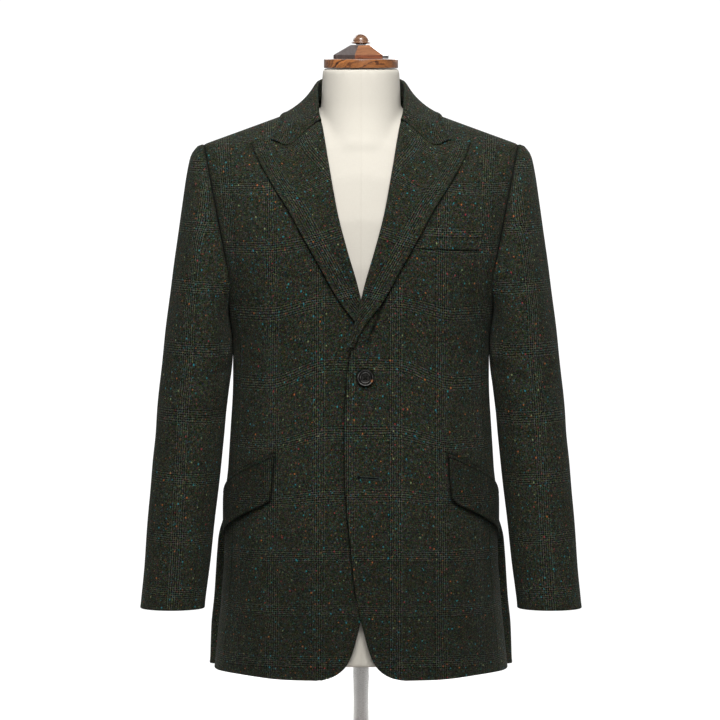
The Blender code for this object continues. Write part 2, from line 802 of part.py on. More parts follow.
def pocket_strip(name, material, mirror, strip):
    """A strip along the slanted pocket, between two distances below its line."""
    outer, inner = [], []
    for i in range(strip.rows):
        outer.append([])
        inner.append([])
        for j in range(strip.columns):
            share = j / (strip.columns - 1)
            down = i / (strip.rows - 1)
            near_end = max(0.0, 1 - min(share, 1 - share) / 0.08)
            corner = strip.corner * down**3 * near_end**2
            drop = strip.top + (strip.bottom - strip.top) * down - corner
            run = POCKET_LENGTH * share
            height = POCKET_HEIGHT - POCKET_SLOPE * run - drop
            lean = FLAP_LEAN * drop / FLAP_DEPTH
            face, angle = round_the_side(POCKET_FRONT, height, run + lean)
            point, normal = skin(face, angle, height)
            outer[-1].append(point + normal * (POCKET_LAY + strip.wall))
            inner[-1].append(point + normal * POCKET_LAY)
    if mirror:
        outer, inner = mirrored(outer), mirrored(inner)
    return wall(name, outer, inner, material)


# Breast welt on the wearer's left: its four corners as (across, height).
WELT_LOW_IN, WELT_LOW_OUT = (80.0, 707.5), (163.0, 704.0)
WELT_HIGH_IN, WELT_HIGH_OUT = (90.0, 736.5), (169.0, 731.0)
WELT_WALL = 1.2


def breast_welt(name, material):
    outer, inner = [], []
    for i in range(4):
        up = i / 3
        left = np.array(WELT_LOW_IN) * (1 - up) + np.array(WELT_HIGH_IN) * up
        right = np.array(WELT_LOW_OUT) * (1 - up) + np.array(WELT_HIGH_OUT) * up
        outer.append([])
        inner.append([])
        for j in range(7):
            across, height = left + (right - left) * j / 6
            point, normal = on_face(FRONT, across, height)
            outer[-1].append(point + normal * (SEAM + WELT_WALL))
            inner[-1].append(point + normal * SEAM)
    return wall(name, outer, inner, material)


# Buttons: 36 line, turned with a rim round a dished middle, four holes.
BUTTON_RADIUS = 11.7
BUTTON_THICKNESS = 3.6
BUTTON_LIFT = 0.8  # its thread shank
BUTTON_HOLE = 1.1
BUTTON_HOLE_PITCH = 2.6
TOP_BUTTON = (6.0, 529.0)
LOW_BUTTON = (5.0, 391.0)


def button(name, material, place, inset):
    point, normal = on_face(FRONT, *place)
    point = point + normal * (BUTTON_LIFT - inset)
    profile = [(9.2, 0.0), (10.9, 0.7), (BUTTON_RADIUS, 1.9), (11.3, 3.1), (9.9, BUTTON_THICKNESS)]
    profile += [(8.4, 3.4), (7.2, 2.5)]
    body = turned(name, profile, material, sides=28)
    for k in range(4):
        angle = math.radians(45 + 90 * k)
        centre = (BUTTON_HOLE_PITCH * math.cos(angle), BUTTON_HOLE_PITCH * math.sin(angle))
        drill = turned(f"{name}_drill_{k}", [(BUTTON_HOLE, -1), (BUTTON_HOLE, 5)], material, 8, centre)
        drill.hide_render = True
        drill.display_type = "WIRE"
        cut = body.modifiers.new(f"hole_{k}", "BOOLEAN")
        cut.operation = "DIFFERENCE"
        cut.object = drill
        drill.parent = body
    up = unit(normal)
    side = unit(np.cross([0.0, 0.0, 1.0], up))
    lift = np.cross(up, side)
    rows = [[side[i], lift[i], up[i], point[i] * MM] for i in range(3)] + [[0.0, 0.0, 0.0, 1.0]]
    body.matrix_world = Matrix(rows)
    return body


# ---------------------------------------------------------------- the dress form

FORM_INSIDE = 12.0  # the form is this much slimmer than the jacket's outside
FORM_BELOW = 2.8  # and lies this far under it on the shoulder line, which carries the jacket
FORM_NECK_DROP = 7.0  # and further near the neck
FORM_BOTTOM = 128.0
FORM_COLUMNS = 9  # from the centre to the armhole
FORM_HEIGHTS = [FORM_BOTTOM, 170, 225, 290, 356, 420, 490, 560]
NECK_RADIUS = 52.0
NECK_AXIS = -10.5  # how far behind the shoulder line the neck's axis stands
NECK_TOP = 955.0
# (radius, height) of the neck, which flares out into the shoulders
NECK_PROFILE = [(70, 846), (61, 866), (56, 885), (53.6, 902), (52.8, 920), (NECK_RADIUS, 940)]
NECK_PROFILE += [(NECK_RADIUS - 1, NECK_TOP - 2), (NECK_RADIUS - 2.4, NECK_TOP)]
NECK_BROADER = 1.045  # across than front to back
CAP_RADIUS = 51.7
CAP_HEIGHT = 12.6
BLOCK_SIDE = 40.6  # of its hexagon, and so the radius to a corner too
BLOCK_TOP_SIDE = 15.5
BLOCK_PLINTH = 5.6
BLOCK_SLOPE = 13.9
BLOCK_TURN = 18.0
FINIAL_PROFILE = [(7, 0), (7, 1.2), (12.6, 1.9), (13.5, 2.8), (12.8, 3.8), (11, 4.4)]
FINIAL_PROFILE += [(10.9, 6.5), (9.9, 9.6), (7.6, 12.4), (4.2, 14.2), (0.8, 14.8)]
POLE_RADIUS = 11.0
BASE_RADIUS = 160.0
BASE_HEIGHT = 16.0


def form_shoulder(face, angle, rise):
    across = torso(face, angle, CHEST)[0]
    below = FORM_BELOW + FORM_NECK_DROP * ease((95 - across) / 40)
    return torso(face, angle, CHEST, rise, FORM_INSIDE, below)


def form_torso(name, material):
    """The form's trunk: rings up to the chest, columns on to the shoulders, and flat arm ends."""
    lower = []
    for face in (FRONT, SIDE_BACK):
        arm = armhole_angle(face)
        angles = [arm * j / FORM_COLUMNS for j in range(FORM_COLUMNS + 1)]
        angles += [arm + (90 - arm) * j / 3 for j in (1, 2)]
        lower.append((face, angles))
    front, back = lower
    quarter = [(FRONT, a) for a in front[1]] + [(FRONT, 90.0)]
    quarter += [(SIDE_BACK, a) for a in reversed(back[1])]
    loop = [(face, angle, 1) for face, angle in quarter]
    loop += [(face, angle, -1) for face, angle in reversed(quarter[1:-1])]
    points, faces = [], []

    def add(point, side):
        points.append(np.array([point[0] * side, point[1], point[2]]))
        return len(points) - 1

    rings = []
    for height in FORM_HEIGHTS:
        rings.append([add(torso(f, a, height, inside=FORM_INSIDE), s) for f, a, s in loop])
    top = []
    for face, angle, side in loop:
        arm = armhole_angle(face)
        height = CHEST if angle <= arm + 1e-6 else armhole_height_at(face, angle)
        top.append(add(torso(face, angle, height, inside=FORM_INSIDE), side))
    rings.append(top)
    count = len(loop)
    for low, high in zip(rings, rings[1:]):
        for k in range(count):
            n = (k + 1) % count
            faces.append((low[k], low[n], high[n], high[k]))
    faces.append(tuple(rings[0])[::-1])
    columns = {}
    for k, (face, angle, side) in enumerate(loop):
        if angle <= armhole_angle(face) + 1e-6:
            columns[(face.sign, round(angle, 4), side if angle else 1)] = top[k]

    def sheet(face, angles):
        signed = [(a, 1) for a in reversed(angles)] + [(a, -1) for a in angles[1:]]
        rows = [[columns[(face.sign, round(a, 4), s if a else 1)] for a, s in signed]]
        for rise in RISES[:-1]:
            rows.append([add(form_shoulder(face, a, rise), s) for a, s in signed])
        return rows

    front_angles = front[1][: FORM_COLUMNS + 1]
    back_angles = back[1][: FORM_COLUMNS + 1]
    front_rows, back_rows = sheet(FRONT, front_angles), sheet(SIDE_BACK, back_angles)
    ridge = []
    for a, s in [(a, 1) for a in reversed(front_angles)] + [(a, -1) for a in front_angles[1:]]:
        ridge.append(add(form_shoulder(FRONT, a, 1.0), s))
    for rows in (front_rows, back_rows):
        rows.append(ridge)
        for i in range(len(rows) - 1):
            for j in range(len(ridge) - 1):
                face = (rows[i][j], rows[i][j + 1], rows[i + 1][j + 1], rows[i + 1][j])
                faces.append(face if rows is back_rows else face[::-1])
    for side, end in ((1, 0), (-1, -1)):
        arm_loop = [row[end] for row in front_rows]
        arm_loop += [row[end] for row in back_rows[-2::-1]]
        under = [top[k] for k, (f, a, s) in enumerate(loop) if s == side and a > armhole_angle(f) + 1e-6]
        arm_loop += sorted(under, key=lambda index: -points[index][1])
        centre = np.mean([points[k] for k in arm_loop], axis=0) + np.array([side * 3.0, 0, 0])
        points.append(centre)
        hub = len(points) - 1
        for a, b in zip(arm_loop, arm_loop[1:] + arm_loop[:1]):
            faces.append((hub, b, a) if side == 1 else (hub, a, b))
    if volume_of(points, faces) < 0:
        faces = [face[::-1] for face in faces]
    trunk = new_object(name, points, faces, material)
    neck = turned("neck_to_join", NECK_PROFILE, material, 40, (0.0, NECK_AXIS))
    neck.scale.x = NECK_BROADER
    neck.hide_render = True
    neck.display_type = "WIRE"
    neck.parent = trunk
    join = trunk.modifiers.new("neck", "BOOLEAN")
    join.operation = "UNION"
    join.object = neck
    return trunk


def neck_fittings(wood):
    centre = (0.0, NECK_AXIS)
    low = NECK_TOP + SEAM
    high = NECK_TOP + CAP_HEIGHT
    profile = [(CAP_RADIUS - 2.5, low), (CAP_RADIUS, low + 2.5)]
    profile += [(CAP_RADIUS, high - 2), (CAP_RADIUS - 2, high)]
    turned("neck_cap", profile, wood, 40, centre)
    low = high + SEAM
    block = [(BLOCK_SIDE, low), (BLOCK_SIDE, low + BLOCK_PLINTH)]
    block += [(BLOCK_TOP_SIDE, low + BLOCK_PLINTH + BLOCK_SLOPE)]
    made = turned("neck_block", block, wood, 6, (0.0, 0.0))
    made.data.set_sharp_from_angle(angle=math.radians(10))
    made.location = (0.0, NECK_AXIS * MM, 0.0)
    made.rotation_euler = (0.0, 0.0, math.radians(BLOCK_TURN))
    top = low + BLOCK_PLINTH + BLOCK_SLOPE + SEAM
    knob = [(radius, top + height) for radius, height in FINIAL_PROFILE]
    turned("finial", knob, wood, 20, centre)


def stand(wood, steel):
    turned("pole", [(POLE_RADIUS, BASE_HEIGHT + SEAM), (POLE_RADIUS, FORM_BOTTOM - SEAM)], steel, 24)
    profile = [(BASE_RADIUS - 2, 0.0), (BASE_RADIUS, 2.0), (BASE_RADIUS, BASE_HEIGHT - 4)]
    profile += [(BASE_RADIUS - 4, BASE_HEIGHT)]
    turned("base", profile, wood, 40)


def main():
    for old in list(bpy.data.objects):
        bpy.data.objects.remove(old, do_unlink=True)
    tweed = plain_material("tweed", (0.022, 0.026, 0.018), 0.9)
    linen = plain_material("linen", (0.81, 0.78, 0.69), 0.85)
    wood = plain_material("varnished_wood", (0.23, 0.09, 0.035), 0.35)
    horn = plain_material("horn", (0.035, 0.032, 0.03), 0.3)
    steel = plain_material("brushed_steel", (0.55, 0.55, 0.55), 0.35, 1.0)
    for side, mirror in (("left", False), ("right", True)):
        forepart(f"front_{side}", tweed, mirror, lapped=mirror)
        side_body(f"side_{side}", tweed, mirror)
        back_panel(f"back_{side}", tweed, mirror)
        sleeve(f"top_sleeve_{side}", tweed, mirror, HIND_ARM_SEAM - 360, FORE_ARM_SEAM, 19)
        sleeve(f"under_sleeve_{side}", tweed, mirror, FORE_ARM_SEAM, HIND_ARM_SEAM, 11)
        lapel(f"lapel_{side}", tweed, mirror, lapped=mirror)
        pocket_strip(f"flap_{side}", tweed, mirror, FLAP)
        pocket_strip(f"jet_{side}", tweed, mirror, JET)
    collar("collar", tweed)
    breast_welt("breast_welt", tweed)
    button("button_top", horn, TOP_BUTTON, 0.0)
    button("button_low", horn, LOW_BUTTON, smooth(LAP_DEPTHS, "depth", LOW_BUTTON[1]))
    form_torso("form_torso", linen)
    neck_fittings(wood)
    stand(wood, steel)


main()
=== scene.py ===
"""Looks of a tweed hacking jacket on a limbless dress form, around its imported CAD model.

Each cloth piece is a fine shell laid on the same surface as its solid, with its turned edges, seams,
creases and stitches. Sizes are in millimetres until a mesh is made; the jacket faces -Y, the wearer's
left is +X. The weave, check and flecks come from node materials that read each piece's own grain.
"""

import math
from collections import namedtuple

import bpy
import numpy as np
from mathutils import Matrix, Vector


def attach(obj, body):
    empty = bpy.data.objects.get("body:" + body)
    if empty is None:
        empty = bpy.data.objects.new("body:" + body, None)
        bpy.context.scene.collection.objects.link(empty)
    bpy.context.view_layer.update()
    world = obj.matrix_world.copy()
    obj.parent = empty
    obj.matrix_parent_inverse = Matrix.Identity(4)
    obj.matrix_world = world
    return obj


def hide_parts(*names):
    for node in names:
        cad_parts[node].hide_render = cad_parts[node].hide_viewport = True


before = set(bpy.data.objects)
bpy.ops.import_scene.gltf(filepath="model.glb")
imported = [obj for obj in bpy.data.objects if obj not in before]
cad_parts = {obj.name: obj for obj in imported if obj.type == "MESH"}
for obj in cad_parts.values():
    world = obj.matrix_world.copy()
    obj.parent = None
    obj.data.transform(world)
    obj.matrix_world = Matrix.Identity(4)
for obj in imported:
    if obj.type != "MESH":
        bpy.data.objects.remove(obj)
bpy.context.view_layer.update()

MM = 0.001

# ---------------------------------------------------------------- sizes of the jacket, as in its CAD model

WALL = 2.0
SEAM = 0.3
LAY = 0.5
ROUNDNESS = 2.35
HEM_FRONT = 111.0
HEM_SIDE = 116.0
ARMPIT = 622.0
CHEST = 680.0
SHOULDER_TIP = 220.0
TIP_HEIGHT = 849.0
SHOULDER_SLOPE = 0.3636
NECK_POINT = 66.0
NECK_BACK = 47.0


def table(row_type, *rows):
    """Named rows from bare ones."""
    return [row_type(*row) for row in rows]


# One row for each level: height, half width of fronts and sides, half width of the backs, whose skirts
# kick out below the vents, and depth of front and back from the shoulder line.
Ring = namedtuple("Ring", "height half_front half_back front back")
RINGS = table(
    Ring,
    (105, 206, 213, 142, 146),
    (170, 200.5, 211, 141, 145),
    (210, 196.5, 207, 140, 142),
    (265, 192.5, 203, 138, 137),
    (305, 191, 199, 136, 131),
    (356, 190.5, 190.5, 131, 122),
    (400, 186, 186, 127, 114),
    (460, 182, 182, 122, 106),
    (530, 179, 179, 119, 102),
    (567, 179, 179, 120, 104),
    (622, 187, 187, 123, 109),
    (650, 194, 195.6, 124.6, 111.9),
    (680, 203, 207, 125.2, 112.7),
)

# One row for each point of the forepart's edge, from the round quarter to the break of the lapel.
# across is positive on the forepart's own side of the centre line.
Edge = namedtuple("Edge", "height across")
FRONT_EDGE = table(
    Edge,
    (111, 62), (112.5, 50), (116, 39), (122, 29), (131, 20.5), (142, 14.5), (160, 8.5), (194, 0),
    (235, -8), (300, -15), (383, -22), (450, -23), (530, -19.5), (565, -14),
)
# The crease where the lapel turns back, from the break up to the neck point.
ROLL_LINE = table(
    Edge,
    (565, -14), (605, -5), (634, 3), (660, 9.5), (705, 22.5), (757, 36), (825, 48), (868, 55),
    (881, 58), (893, 62), (905, 66),
)
GORGE_HEIGHT = 881.0  # where the seam between lapel and collar meets the roll line
BREAK_HEIGHT = 565.0
# The free edge of the lapel, from the break to the tip of the peak.
LAPEL_EDGE = table(
    Edge,
    (565, -13), (577, -8), (601, 5), (632, 28.5), (683, 57), (721, 78.5), (760, 100), (797, 123.5),
    (838, 146), (852, 150.5),
)
# The upper edge of the lapel: the gorge seam down to the notch, then the peak out to its tip.
Across = namedtuple("Across", "across height")
GORGE = table(
    Across,
    (58, 881), (71, 870), (80, 862.5), (91, 853.5), (102, 847.5), (116, 848.5), (128, 850.5), (139, 852),
    (150.5, 852),
)
NOTCH_ACROSS = 102.0

# The side seams as ring angles: 0 is the middle of the front or of the back and 90 is the side.
FRONT_SEAM = 68.0
BACK_SEAM = 82.0

VENT_TOP = 352.0
VENT_LAP = 18.0  # how far the back skirt runs under the side body
VENT_TUCK = WALL + 1.2  # how far inside the side body it lies
VENT_TURN = 74.0  # angle at which it turns in to go there
VENT_KICK = 8.0  # how far it stands out beyond its ring just behind the vent

# The right forepart lies this far inside the left one where they lap, out to LAP_HALF from the centre, and
# comes level again over LAP_EASE.
Lap = namedtuple("Lap", "height depth")
LAP_DEPTHS = table(Lap, (105, 3.4), (200, 3.4), (300, 6.8), (640, 6.8), (700, 0.0))
LAP_HALF = 27.0
LAP_EASE = 30.0


def smooth(rows, column, at):
    """Value of one column of a table at a place between its rows, on a curve that never overshoots."""
    xs = [row[0] for row in rows]
    ys = [getattr(row, column) for row in rows]
    if at <= xs[0]:
        return float(ys[0])
    if at >= xs[-1]:
        return float(ys[-1])
    i = max(j for j in range(len(xs) - 1) if xs[j] <= at)
    slopes = [(ys[j + 1] - ys[j]) / (xs[j + 1] - xs[j]) for j in range(len(xs) - 1)]

    def tangent(j):
        if j in (0, len(xs) - 1):
            return slopes[0] if j == 0 else slopes[-1]
        a, b = slopes[j - 1], slopes[j]
        return 2 * a * b / (a + b) if a * b > 0 else 0.0

    width = xs[i + 1] - xs[i]
    t = (at - xs[i]) / width
    return float(
        ys[i] * (1 + 2 * t) * (1 - t) ** 2
        + ys[i + 1] * t * t * (3 - 2 * t)
        + width * (tangent(i) * t * (1 - t) ** 2 - tangent(i + 1) * t * t * (1 - t))
    )


def ease(t):
    t = min(max(t, 0.0), 1.0)
    return t * t * (3 - 2 * t)


def lengths(v):
    """Lengths of an array of vectors, kept as a last axis and never quite nothing."""
    return np.maximum(np.linalg.norm(v, axis=-1, keepdims=True), 1e-9)


def unit(v):
    return np.asarray(v, float) / lengths(v)


Face = namedtuple("Face", "sign half depth armhole fullness")
FRONT = Face(-1, "half_front", "front", 186.5, 1.08)
BACK = Face(1, "half_back", "back", 190.0, 0.84)
SIDE_BACK = Face(1, "half_front", "back", 190.0, 0.84)  # the rear part of the side body


def signed_power(value, power):
    return math.copysign(abs(value) ** power, value)


def ridge_height(across):
    return TIP_HEIGHT + (SHOULDER_TIP - abs(across)) * SHOULDER_SLOPE


def widening(face, climb):
    """How much wider a column stands at this share of the way from chest to shoulder."""
    return 1 + (SHOULDER_TIP / face.armhole - 1) * climb


def torso(face, angle, height, rise=0.0):
    """Point of the jacket's outer surface. angle runs round a ring, height up to the chest, and rise
    from 0 at the chest to 1 on the shoulder line."""
    power = 2 / ROUNDNESS
    turn = math.radians(angle)
    across = smooth(RINGS, face.half, height) * signed_power(math.sin(turn), power)
    out = face.sign * smooth(RINGS, face.depth, height) * signed_power(math.cos(turn), power)
    if rise == 0:
        return np.array([across, out, height])
    turn = math.radians(90 * rise)
    climb = math.sin(turn)
    ridge = ridge_height(across * SHOULDER_TIP / face.armhole)
    out = out * signed_power(math.cos(turn), face.fullness)
    return np.array([across * widening(face, climb), out, CHEST + (ridge - CHEST) * climb])


def skin(face, angle, height, rise=0.0):
    """(point, outward normal) of the torso surface."""
    turn, lift, climb = 0.4, 0.6, 0.008
    along = torso(face, angle + turn, height, rise) - torso(face, angle - turn, height, rise)
    if rise == 0:
        up = torso(face, angle, height + lift) - torso(face, angle, height - lift)
    else:
        up = torso(face, angle, height, rise + climb) - torso(face, angle, height, max(rise - climb, 1e-6))
    normal = unit(np.cross(along, up))
    return torso(face, angle, height, rise), normal if face.sign < 0 else -normal


def ring_angle(face, across, height):
    share = across / smooth(RINGS, face.half, height)
    share = min(max(share, -1.0), 1.0)
    return math.degrees(math.asin(signed_power(share, ROUNDNESS / 2)))


def edge_angle(face, edge, height, rise):
    """Angle at which a row meets an edge that gives its distance across for each height."""
    at = height
    for _ in range(12):
        climb = math.sin(math.radians(90 * rise))
        angle = ring_angle(face, edge(at) / widening(face, climb), height)
        at = torso(face, angle, height, rise)[2]
    return angle


def place_on(face, across, height):
    """(angle, height, rise) of the surface point that lies at this place across and up."""
    if height <= CHEST:
        return ring_angle(face, across, height), height, 0.0
    climb = 0.5
    for _ in range(20):
        column = across / widening(face, climb)
        ridge = ridge_height(column * SHOULDER_TIP / face.armhole)
        climb = min((height - CHEST) / (ridge - CHEST), 1.0)
    rise = math.degrees(math.asin(climb)) / 90
    return ring_angle(face, column, CHEST), CHEST, rise


def on_face(face, across, height):
    return skin(face, *place_on(face, across, height))


def armhole_angle(face):
    """Ring angle of the armhole above the chest. Below it the armhole takes a quarter turn to the armpit."""
    return ring_angle(face, face.armhole, CHEST)


def armhole_depth(face):
    return abs(torso(face, armhole_angle(face), CHEST)[1])


def armhole_angle_at(face, height):
    """Ring angle of the armhole's lower curve at a height between armpit and chest."""
    beta = math.asin(min((CHEST - height) / (CHEST - ARMPIT), 1.0))
    out = armhole_depth(face) * math.cos(beta) / smooth(RINGS, face.depth, height)
    return math.degrees(math.acos(out ** (ROUNDNESS / 2)))


def armhole_height_at(face, angle):
    """Height of the armhole's lower curve at a ring angle."""
    low, high = ARMPIT, CHEST
    for _ in range(30):
        middle = (low + high) / 2
        if armhole_angle_at(face, middle) > angle:
            low = middle
        else:
            high = middle
    return middle


def armhole_point(face, height):
    """(point, normal) of the armhole seam at a height between armpit and shoulder tip."""
    if height <= CHEST:
        return skin(face, armhole_angle_at(face, height), height)
    climb = min((height - CHEST) / (TIP_HEIGHT - CHEST), 1.0)
    return skin(face, armhole_angle(face), CHEST, math.degrees(math.asin(climb)) / 90)


# ---------------------------------------------------------------- the grain of the cloth

# The check repeats every CHECK_ACROSS by CHECK_UP. A bold weft stripe crosses the body at each of these
# heights: pressing and darting have let the rows spread or close up a little.
CHECK_ACROSS = 66.0
CHECK_UP = 84.0
Weft = namedtuple("Weft", "height repeat")
WEFT_HEIGHTS = (56, 137, 207, 284, 366, 453, 547, 634, 716, 800, 884, 968)
WEFT_ROWS = [Weft(height, k - 1.0) for k, height in enumerate(WEFT_HEIGHTS)]
WARP_LEFT = 47.6  # where the first bold warp stripe of the left forepart runs, from the centre
WARP_RIGHT = 60.0  # and that of the right one
# How far the weft drops beside the waist dart.
Droop = namedtuple("Droop", "height drop")
DART_DROOP = table(Droop, (111, 0), (300, 3), (400, 12), (520, 24), (600, 19), (690, 8), (800, 0))
DART_FROM, DART_RUN = 45, 85  # where across the drop begins, and what it takes to grow in full


def weft_at(height):
    return CHECK_UP * smooth(WEFT_ROWS, "repeat", height)


def weft_at_all(heights):
    levels = np.arange(40.0, 1000.0, 2.0)
    return np.interp(heights, levels, [weft_at(level) for level in levels])


def droop_at(across, height):
    return smooth(DART_DROOP, "drop", height) * ease((abs(across) - DART_FROM) / DART_RUN)


def up_the_warp(points):
    """Places along the warp of a row of points on the body."""
    return [weft_at(point[2]) + droop_at(point[0], point[2]) for point in points]


# ---------------------------------------------------------------- creases

# Each crease is a soft trough (or a ridge, with a negative depth): where its middle lies on the front
# projection, half its length, half its width, its depth and how far it leans from upright, in degrees.
Crease = namedtuple("Crease", "across height length width depth lean")
FRONT_CREASES = table(
    Crease,
    (150, 640, 62, 13, 1.3, -24),
    (128, 610, 50, 15, -1.0, -30),
    (162, 575, 40, 9, 0.9, -12),
    (66, 500, 70, 20, 0.8, 16),
    (30, 556, 26, 5, 0.45, 58),
    (34, 505, 30, 5, 0.5, -62),
    (150, 520, 60, 16, 0.9, 6),
    (104, 232, 110, 26, 1.7, 3),
    (62, 216, 90, 20, -1.2, -2),
    (150, 214, 95, 22, -1.4, 5),
    (36, 262, 66, 14, 0.7, -4),
    (176, 250, 80, 14, 1.2, 4),
    (185, 770, 50, 10, 0.9, 12),
    (120, 790, 40, 20, -0.8, 60),
)
BACK_CREASES = table(
    Crease,
    (30, 610, 120, 20, 1.9, 5),
    (118, 660, 90, 17, 2.4, -14),
    (150, 600, 70, 13, -2.0, -18),
    (84, 520, 44, 10, 2.4, 70),
    (126, 486, 38, 9, 2.0, 64),
    (60, 455, 50, 12, -1.7, 76),
    (46, 230, 120, 22, 2.5, 2),
    (96, 220, 110, 20, -2.5, -3),
    (142, 236, 100, 18, 2.7, -4),
    (18, 845, 50, 10, 1.3, 74),
    (96, 800, 46, 16, -1.5, 40),
)


def hill(distance, width):
    return np.exp(-((distance / width) ** 2))


def trough(crease, right, up):
    """Depth of one crease at places to the right of its middle and up from it."""
    lean = math.radians(crease.lean)
    over = right * math.cos(lean) - up * math.sin(lean)
    run = right * math.sin(lean) + up * math.cos(lean)
    return crease.depth * np.exp(-((over / crease.width) ** 2) - (run / crease.length) ** 4)


def crease_depth(creases, across, height):
    """Depth of all creases together at arrays of places."""
    return sum(trough(crease, across - crease.across, height - crease.height) for crease in creases)


def slow_waves(points, size, height):
    """Uneven softness of hand-pressed cloth, the same on every run."""
    x, y, z = np.moveaxis(points, -1, 0) / size
    wave = np.sin(1.9 * x + 0.7 * z + 1.3) * np.cos(1.1 * z - 0.8 * y)
    wave = wave + 0.6 * np.sin(0.9 * x - 2.3 * z + 2.1 * y + 0.4)
    return height * wave / 1.6


def mirrored(grid):
    return np.asarray(grid, float) * np.array([-1.0, 1.0, 1.0])


# ---------------------------------------------------------------- cloth shells


def curve(a, b, c, d, t):
    """What lies between b and c on the smooth curve through four values."""
    return 0.5 * (2 * b + (c - a) * t + (2 * a - 5 * b + 4 * c - d) * t**2 + (3 * b - a - 3 * c + d) * t**3)


def read_rows(values, places):
    """A curve through the rows of an array, read at row numbers with fractions."""
    values = np.asarray(values, float)
    padded = np.concatenate([2 * values[:1] - values[1:2], values, 2 * values[-1:] - values[-2:-1]])
    places = np.clip(places, 0, len(values) - 1)
    i = np.minimum(places.astype(int), len(values) - 2)
    t = (places - i).reshape(-1, *([1] * (values.ndim - 1)))
    return curve(padded[i], padded[i + 1], padded[i + 2], padded[i + 3], t)


SEAM_REACH = 0.14
RIM = [0.0, 0.12, 0.4, 0.85, 1.5, 2.4, 3.6]  # rows near an edge, by their distance to it
NARROW = 10.0  # a strip less wide than this has no room for even rows between its rims


def row_places(grid, step):
    """Row numbers at an even step along the grid, with closer rows at both ends for the turned edges."""
    run = np.linalg.norm(np.diff(grid, axis=0), axis=2).mean(axis=1)
    run = np.concatenate([[0.0], np.cumsum(run)])
    end = run[-1]
    if end >= NARROW:
        count = max(int(round((end - 2 * RIM[-1]) / step)), 1)
        near, inner = RIM, list(np.linspace(RIM[-1], end - RIM[-1], count + 1))[1:-1]
    else:
        near, inner = [r for r in RIM if r < end * 0.45], [end / 2]
    return np.interp(near + inner + [end - r for r in reversed(near)], run, np.arange(len(run)))


def refined(grid, uv, step):
    """The grid and its grain places on finer rows and columns."""
    rows = row_places(grid, step)
    columns = row_places(np.swapaxes(grid, 0, 1), step)

    def both(values):
        return np.swapaxes(read_rows(np.swapaxes(read_rows(values, rows), 0, 1), columns), 0, 1)

    return both(grid), both(uv)


def run_along(points, axis):
    """Distances of every grid point to the first and to the last row or column."""
    steps = np.linalg.norm(np.diff(points, axis=axis), axis=2)
    zero = np.zeros_like(np.take(steps, [0], axis=axis))
    run = np.concatenate([zero, np.cumsum(steps, axis=axis)], axis=axis)
    return run, np.take(run, [-1], axis=axis) - run


def grid_normals(points):
    return unit(np.cross(np.gradient(points, axis=1), np.gradient(points, axis=0)))


def new_object(name, data):
    made = bpy.data.objects.new(name, data)
    bpy.context.scene.collection.objects.link(made)
    return made


def link(name, mesh, material):
    mesh.materials.append(material)
    made = new_object(name, mesh)
    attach(made, "root")
    return made


def mesh_of(name, points, faces, uv=None, smooth_shade=True, sharp=50):
    mesh = bpy.data.meshes.new(name)
    mesh.from_pydata((np.asarray(points, float) * MM).tolist(), [], faces)
    if uv is not None:
        layer = mesh.uv_layers.new(name="grain")
        corners = np.empty(len(mesh.loops), dtype=np.int32)
        mesh.loops.foreach_get("vertex_index", corners)
        layer.data.foreach_set("uv", np.asarray(uv, np.float32)[corners].reshape(-1))
    if smooth_shade:
        mesh.shade_smooth()
        mesh.set_sharp_from_angle(angle=math.radians(sharp))
    return mesh


def shell_mesh(name, outer, inner, uv):
    """Closed shell between two grids with the same rows and columns."""
    rows, columns = outer.shape[:2]
    count = rows * columns
    points = np.concatenate([outer.reshape(-1, 3), inner.reshape(-1, 3)])
    index = np.arange(count).reshape(rows, columns)
    quads = np.stack([index[:-1, :-1], index[:-1, 1:], index[1:, 1:], index[1:, :-1]], axis=-1).reshape(-1, 4)
    rim = np.concatenate([index[0, :], index[1:, -1], index[-1, -2::-1], index[-2:0:-1, 0]])
    after = np.roll(rim, -1)
    sides = np.stack([after, rim, rim + count, after + count], axis=-1)
    faces = np.concatenate([quads, quads[:, ::-1] + count, sides])
    p = points[faces]
    volume = np.einsum("ij,ij->i", p[:, 0], np.cross(p[:, 1], p[:, 2]) + np.cross(p[:, 2], p[:, 3])).sum()
    if volume < 0:
        faces = faces[:, ::-1]
    grain = np.concatenate([uv.reshape(-1, 2), uv.reshape(-1, 2)])
    return mesh_of(name, points, faces.tolist(), grain)


# How each side of a piece ends. "free" edges are turned and rounded, "open" ones stay as they are because
# something covers them, and the others dip into a seam: pressed, pressed flat or set over padding.
Ends = namedtuple("Ends", "low high first last")
SEAM_DIPS = {"seam": (0.3, 1.6), "fine": (0.1, 1.2), "deep": (1.2, 2.2)}  # depth, reach
PAINTED_SHADES = {"seam": (0.35, 0.7), "fine": (0.1, 0.7), "deep": (0.88, 2.9), "free": (0.25, 0.6)}  # painted shade beside each kind of edge, where shade falls: darkness, reach
EDGE_THIN = 0.14  # share of its thickness that the very rim of a rounded edge keeps
EDGE_SWELL = (0.35, 2.2, 2.0)  # height, distance from the edge and half width
EDGE_STITCH = (0.18, 5.8, 0.9)
CREASE_FADE = 12.0  # creases fade towards an edge over this distance
CREASE_LEAST = 0.35  # and this share of them is left there
SET_IN = 14  # height over which the side seam turns into the deeper seam of the armhole


def rounding(distance, kind, half):
    """Half thickness of the cloth near an edge."""
    if kind != "free":
        return np.full_like(distance, half)
    reach = np.clip(distance / half, 0, 1)
    return half * np.maximum(np.sqrt(1 - (1 - reach) ** 2), EDGE_THIN)


def seam_dip(distance, kind):
    """How far the cloth sinks into its seam."""
    depth, reach = SEAM_DIPS.get(kind, (0.0, 1.0))
    return depth * hill(distance, reach)


def painted_seam_shade(distance, kind):
    """Painted shade: how dark the cloth is painted beside a seam or a turned edge, where shade falls."""
    dark, reach = PAINTED_SHADES.get(kind, (0.0, 1.0))
    return 1 - dark * hill(distance, reach)


